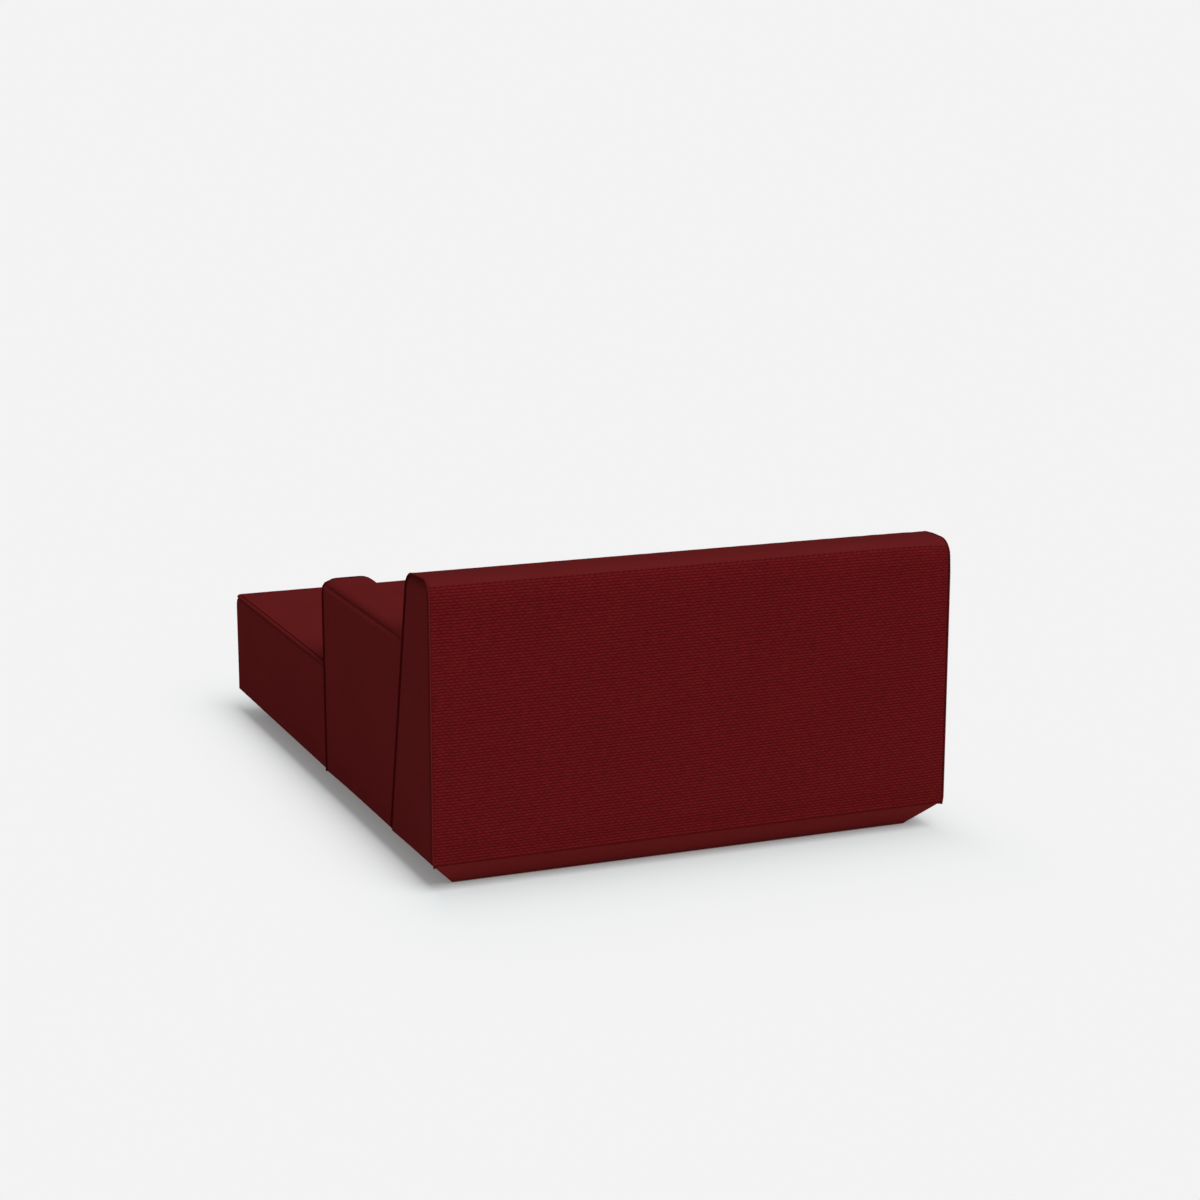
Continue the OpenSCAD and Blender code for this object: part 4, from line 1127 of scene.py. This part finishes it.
# Section of a seam lip with its root: how far out of the end panel, and how deep
LIP_SECTION = np.array([
    (-0.0002, 0.0004), (0.0008, 0.0000), (0.0021, 0.0001), (0.0029, 0.0006),
    (0.0030, 0.0030), (0.0024, 0.0044), (0.0004, 0.0056), (-0.0030, 0.0076),
    (-0.0066, 0.0095), (-0.0082, 0.0095), (-0.0084, 0.0078), (-0.0050, 0.0062),
    (-0.0018, 0.0044), (-0.0008, 0.0022),
])
LIP_SHADES = ("seam", "weave", "rim")


def lip_sweep(form, place):
    """Seam lip round an end panel, a ridge that stands proud of both sides: its points,
    its map, and where it leans."""
    corners, radii = moved_wedge(form, LIP_PROUD, 0, LIP_RISE)
    corners[0] = (corners[0][0], PLINTH_Z - LIP_HANG)
    path = outline(corners, radii, pitch=0.01, closed=False)[0]
    ahead = np.gradient(path, axis=0)
    ahead /= np.linalg.norm(ahead, axis=1, keepdims=True)
    away = np.column_stack([ahead[:, 1], -ahead[:, 0]])
    leaning = smooth_step(-away[:, 0], 0.1, 0.9)[None]
    section = np.vstack([LIP_SECTION, LIP_SECTION[:1]])
    depth = section[:, 1:] * (1 - (1 - LIP_THIN) * leaning)
    plane = path[None] - away[None] * depth[..., None]
    points = place(plane, section[:, :1] * np.ones(depth.shape))
    return points, cloth_map(run_lengths(path), run_lengths(section)), leaning[0, 1:] > 0.5


def make_lip(name, lips, node, lit_rows=0):
    """One piece from the lips of one module, coloured darker than the cover as painted shade. The
    first rows of a lip, its outer face, may keep the cover's own cloth as the lit side, and the
    others then get a lighter painted shade where the lip doesn't lean."""
    all_points, all_faces, all_cloth, tones = [], [], [], []
    count = 0
    for points, cloth, leaning in lips:
        rows, columns = points.shape[:2]
        first_end = count + columns * np.arange(rows - 1)
        all_faces += grid_faces(rows, columns, count).reshape(-1, 4).tolist()
        all_faces += [first_end.tolist(), (first_end + columns - 1).tolist()]
        bright = np.arange(rows - 1)[:, None] < lit_rows
        # Painted shade by facing: the outer face takes the cover's cloth, a leaning stretch the
        # darkest red and the rest a less dark red; with no lit rows it is all darkest
        tone_of = np.where(bright, 1, 2 - 2 * leaning[None]) * (lit_rows > 0)
        tones += tone_of.ravel().tolist() + [0, 0]
        all_points.append(points.reshape(-1, 3))
        all_cloth.append(cloth.reshape(-1, 2))
        count += rows * columns
    obj = new_object(name, np.concatenate(all_points), all_faces)
    finish_cloth(obj, np.concatenate(all_cloth), LIP_SHADES[0], 0)
    if lit_rows:
        for tone_name in LIP_SHADES[1:]:
            obj.data.materials.append(MATERIALS[tone_name])
    obj.data.polygons.foreach_set("material_index", np.array(tones, dtype=np.int32))
    mesh = bmesh.new()
    mesh.from_mesh(obj.data)
    bmesh.ops.remove_doubles(mesh, verts=mesh.verts, dist=1e-6)
    bmesh.ops.recalc_face_normals(mesh, faces=mesh.faces)
    mesh.to_mesh(obj.data)
    mesh.free()
    place_piece(obj, node)


def make_back():
    loop = wedge_loop(BACK)
    ends = [joined(x, *loop.T) for x in (-SIDE_X, SIDE_X)]
    rim = np.vstack([loop, loop[:1]])

    def held(points):
        near_end = SIDE_X - np.abs(points[:, 0]) < HELD
        near_rim = line_distance(points[:, 1:], rim) < HELD
        low = points[:, 2] < PLINTH_Z + HELD
        return (near_end & near_rim) | low | (back_free(points) < 0.3)

    case = Case(*ends, held)
    centre = (0, (REAR_Y + BACK_FOOT_Y) / 2 + 0.05, 0.35)
    make_band("back_cover", BACK, 2 * (SIDE_X - LIP_W), back_place, "back_cover_band",
              "rear_weave", case, back_free, centre)
    lips = []
    for sign, name in ((-1, "back_panel_right"), (1, "back_panel_left")):

        def place(grid, sign=sign):
            return joined(sign * (SIDE_X - PANEL_OUT), grid[..., 0], grid[..., 1])

        def place_lip(plane, side, sign=sign):
            low = 1 - smooth_step(plane[..., 1], PLINTH_Z - LIP_HANG, PLINTH_Z + LIP_BENT)
            x = sign * (SIDE_X + side - LIP_PROUD * low ** 2)
            return settled(joined(x, plane[..., 0], plane[..., 1]))

        make_panel(name, BACK, place, case, 1, centre, 5 + sign, (-sign * FOOT_SEAM, 0))
        lips.append(lip_sweep(BACK, place_lip))
    make_lip("back_seams", lips, "back_seam_lips", 3)

    def plan(z, bevel):
        side, rear, face = SIDE_X - bevel, REAR_Y - bevel, back_face(z)
        return [(-side, face), (side, face), (side, rear), (-side, rear)]

    make_wedge_foot("back_foot_cover", plan, (0, 0.75, 1), "back_cover_foot")


def make_arm():
    loop = wedge_loop(ARM)
    rim = np.vstack([loop, loop[:1]])
    ends = [
        joined(loop[:, 0], y, loop[:, 1]) for y in (ARM_Y, back_face(loop[:, 1], MODULE_GAP))
    ]

    def held(points):
        front = (points[:, 1] < ARM_Y + HELD) & (line_distance(points[:, [0, 2]], rim) < HELD)
        return front | (points[:, 2] < PLINTH_Z + HELD) | (arm_free(points) < 0.3)

    case = Case(*ends, held)
    centre = ((SIDE_X + ARM_FOOT_X) / 2 + 0.03, 0.32, 0.28)
    make_band("arm_cover", ARM, back_face(PLINTH_Z) - ARM_Y, arm_place, "arm_cover_band",
              "weave", case, arm_free, centre)

    def front_place(grid):
        return joined(grid[..., 0], ARM_Y + PANEL_OUT, grid[..., 1])

    def rear_place(grid):
        return joined(grid[..., 0], back_face(grid[..., 1], MODULE_GAP), grid[..., 1])

    make_panel("arm_panel_front", ARM_FRONT, front_place, case, 1, centre, 8)
    make_panel("arm_panel_rear", ARM, rear_place, case, 0, centre, 9, (0, -SLOPE * FOOT_SEAM))

    def place_lip(plane, side):
        x, z = plane[..., 0], plane[..., 1]
        turn = corner_turn(x, z, ARM_FRONT_RADII[0])
        ear = EAR * np.exp(-((turn - EAR_TURN) / EAR_SPREAD) ** 2)
        ear = ear * smooth_step(side, -0.006, 0)
        return joined(x + ear * np.cos(turn), ARM_Y + LIP_PROUD - side, z + ear * np.sin(turn))

    make_lip("arm_seam", [lip_sweep(ARM_FRONT, place_lip)], "arm_seam_lip")

    def plan(z, bevel):
        side, face, rear = SIDE_X - bevel, arm_face(z), back_face(z, MODULE_GAP)
        return [(face, ARM_Y), (side, ARM_Y), (side, rear), (face, rear)]

    make_wedge_foot("arm_foot_cover", plan, (0.52, 0.3, 1), "arm_cover_foot")


# What lies under the covers

def soft_copy(node, name, slot, radius):
    """Softened copy of a CAD node, with its cut edges eased. Foam and wadding are also
    pressed in by their cover."""
    obj = bpy.data.objects.new(name, frame["nodes"][node].data.copy())
    bpy.context.scene.collection.objects.link(obj)
    if name.startswith("back_"):
        obj.data.vertices.foreach_set("co", settled(vertices(obj)).ravel())
    mesh = bmesh.new()
    mesh.from_mesh(obj.data)
    bmesh.ops.remove_doubles(mesh, verts=mesh.verts, dist=1e-5)
    bmesh.ops.dissolve_limit(
        mesh, angle_limit=math.radians(1), verts=mesh.verts, edges=mesh.edges
    )
    mesh.to_mesh(obj.data)
    mesh.free()
    obj.data.materials.clear()
    obj.data.materials.append(MATERIALS[slot])
    if slot in ("foam", "wadding"):
        shrink = obj.modifiers.new("pressed", "DISPLACE")
        shrink.strength = -2 * (ARM_PRESSED if name.startswith("arm_") else PRESSED)
        shrink.mid_level = 0.5
    bevel = obj.modifiers.new("eased", "BEVEL")
    bevel.width = radius
    bevel.segments = 3
    bevel.limit_method = "ANGLE"
    bevel.angle_limit = math.radians(40)
    obj.data.polygons.foreach_set("use_smooth", [False] * len(obj.data.polygons))
    return place_piece(obj, node)


# Padded nodes, with the radius of their edges and their fill
PADS = {
    "seat_foam_core": (0.003, 1.0),
    "seat_foam_soft": (0.004, 0.9),
    "seat_foam_sides": (0.002, 0.9),
    "seat_wadding": (0.004, 0.7),
    "back_foam_front": (0.004, 0.9),
    "back_foam_crown": (0.003, 0.9),
    "back_foam_rear": (0.002, 0.9),
    "back_foam_ends": (0.002, 0.9),
    "arm_foam_inner": (0.004, 0.9),
    "arm_foam_crown": (0.003, 0.9),
    "arm_foam_outer": (0.002, 0.9),
    "arm_foam_ends": (0.002, 0.9),
}
# Cloth nodes, with their slots and the radius of their edges
LAYERS = {
    "seat_webbing_length": ("strap", 0.0005),
    "seat_webbing_cross": ("strap", 0.0005),
    "back_webbing": ("strap", 0.0005),
    "seat_felt": ("felt", 0.001),
    "seat_dust_cover": ("dust_cloth", 0.0002),
}


def make_layers():
    for node, (radius, fill) in PADS.items():
        slot = "wadding" if "wadding" in node else "foam"
        soft_copy(node, node + "_pad", slot, radius)
    for node, (slot, radius) in LAYERS.items():
        soft_copy(node, node + "_cloth", slot, radius)


def paint_frame():
    """Wood, steel and plastic materials on the CAD nodes that stay."""
    for part in frame["record"]["subparts"]:
        slot = part["material_slot"]
        if slot in ("timber", "plywood", "hardboard", "steel", "glide"):
            data = frame["nodes"][part["node"]].data
            data.materials.clear()
            data.materials.append(MATERIALS[slot])


# Stage, light and camera

def seen_directly(tree):
    """1 for camera, glossy and transmission rays, 0 for the light on the object."""
    path = add(tree, "LightPath").outputs
    direct = math_node(tree, "MAXIMUM", path["Is Camera Ray"], path["Is Glossy Ray"])
    return math_node(tree, "MAXIMUM", direct, path["Is Transmission Ray"])


def make_floor():
    """Pale floor that is shaded near the object and as bright as the background away
    from it."""
    x = FLOOR_REACH
    floor = new_object("floor", [(-x, -x, 0), (x, -x, 0), (x, x, 0), (-x, x, 0)], [(0, 1, 2, 3)])
    material, tree, shader = blank("floor")
    place = vector_node(tree, "ABSOLUTE", add(tree, "NewGeometry").outputs["Position"])
    place = vector_node(tree, "SUBTRACT", place, SHADOW_START)
    place = vector_node(tree, "MAXIMUM", place, (0, 0, 0))
    place = vector_node(tree, "MULTIPLY", place, SHADOW_FALL)
    away = add(tree, "VectorMath", {0: place}, operation="LENGTH").outputs["Value"]
    shadow = math_node(tree, "EXPONENT", math_node(tree, "MULTIPLY", away, -1))
    fade = math_node(tree, "MULTIPLY_ADD", shadow, -SHADOW_SHARE, 1)
    share = math_node(tree, "MULTIPLY", fade, seen_directly(tree))
    glow = add(tree, "Emission", {"Color": grey(BACKGROUND), "Strength": 1})
    bounced = add(tree, "LightPath").outputs["Is Diffuse Ray"]
    tint = blend_colours(tree, bounced, FLOOR_SEEN, FLOOR_BOUNCE)
    tree.links.new(tint, shader.inputs["Base Color"])
    shader.inputs["Roughness"].default_value = 0.9
    shader.inputs["Specular IOR Level"].default_value = 0.1
    mixed = add(tree, "MixShader", {0: share, 1: shader.outputs[0], 2: glow.outputs[0]})
    tree.links.new(mixed.outputs[0], tree.nodes["Material Output"].inputs["Surface"])
    floor.data.materials.append(material)


def make_world():
    """Even light from all round, with a plain background behind it."""
    world = bpy.data.worlds.new("studio")
    bpy.context.scene.world = world
    world.use_nodes = True
    tree = world.node_tree
    share = seen_directly(tree)
    ambient = tree.nodes["Background"]
    ambient.inputs["Color"].default_value = grey(1)
    ambient.inputs["Strength"].default_value = AMBIENT
    seen = add(tree, "Background", {"Color": grey(BACKGROUND), "Strength": 1})
    mixed = add(tree, "MixShader", {0: share, 1: ambient.outputs[0], 2: seen.outputs[0]})
    tree.links.new(mixed.outputs[0], tree.nodes["World Output"].inputs["Surface"])


def aimed(name, data, ahead):
    """New lamp or camera that looks along a direction."""
    obj = bpy.data.objects.new(name, data)
    obj.rotation_euler = Vector(ahead).to_track_quat("-Z", "Y").to_euler()
    bpy.context.scene.collection.objects.link(obj)
    return obj


def make_sun():
    """Soft light from one direction."""
    lamp = bpy.data.lights.new("sun", "SUN")
    lamp.energy = SUN_STRENGTH
    lamp.angle = SUN_SPREAD
    aimed("sun", lamp, -Vector(SUN_FROM))


def make_camera():
    camera = bpy.data.cameras.new("camera")
    camera.lens = CAMERA_LENS
    camera.sensor_width = 36
    camera.sensor_fit = "HORIZONTAL"
    level = math.cos(CAMERA_PITCH)
    obj = aimed("camera", camera, (
        -math.sin(CAMERA_YAW) * level, -math.cos(CAMERA_YAW) * level, -math.sin(CAMERA_PITCH)
    ))
    obj.location = CAMERA_AT
    bpy.context.scene.camera = obj


make_seat()
make_back()
make_arm()
make_layers()
paint_frame()
make_floor()
make_world()
make_sun()
make_camera()
bpy.context.scene.view_settings.view_transform = "Standard"
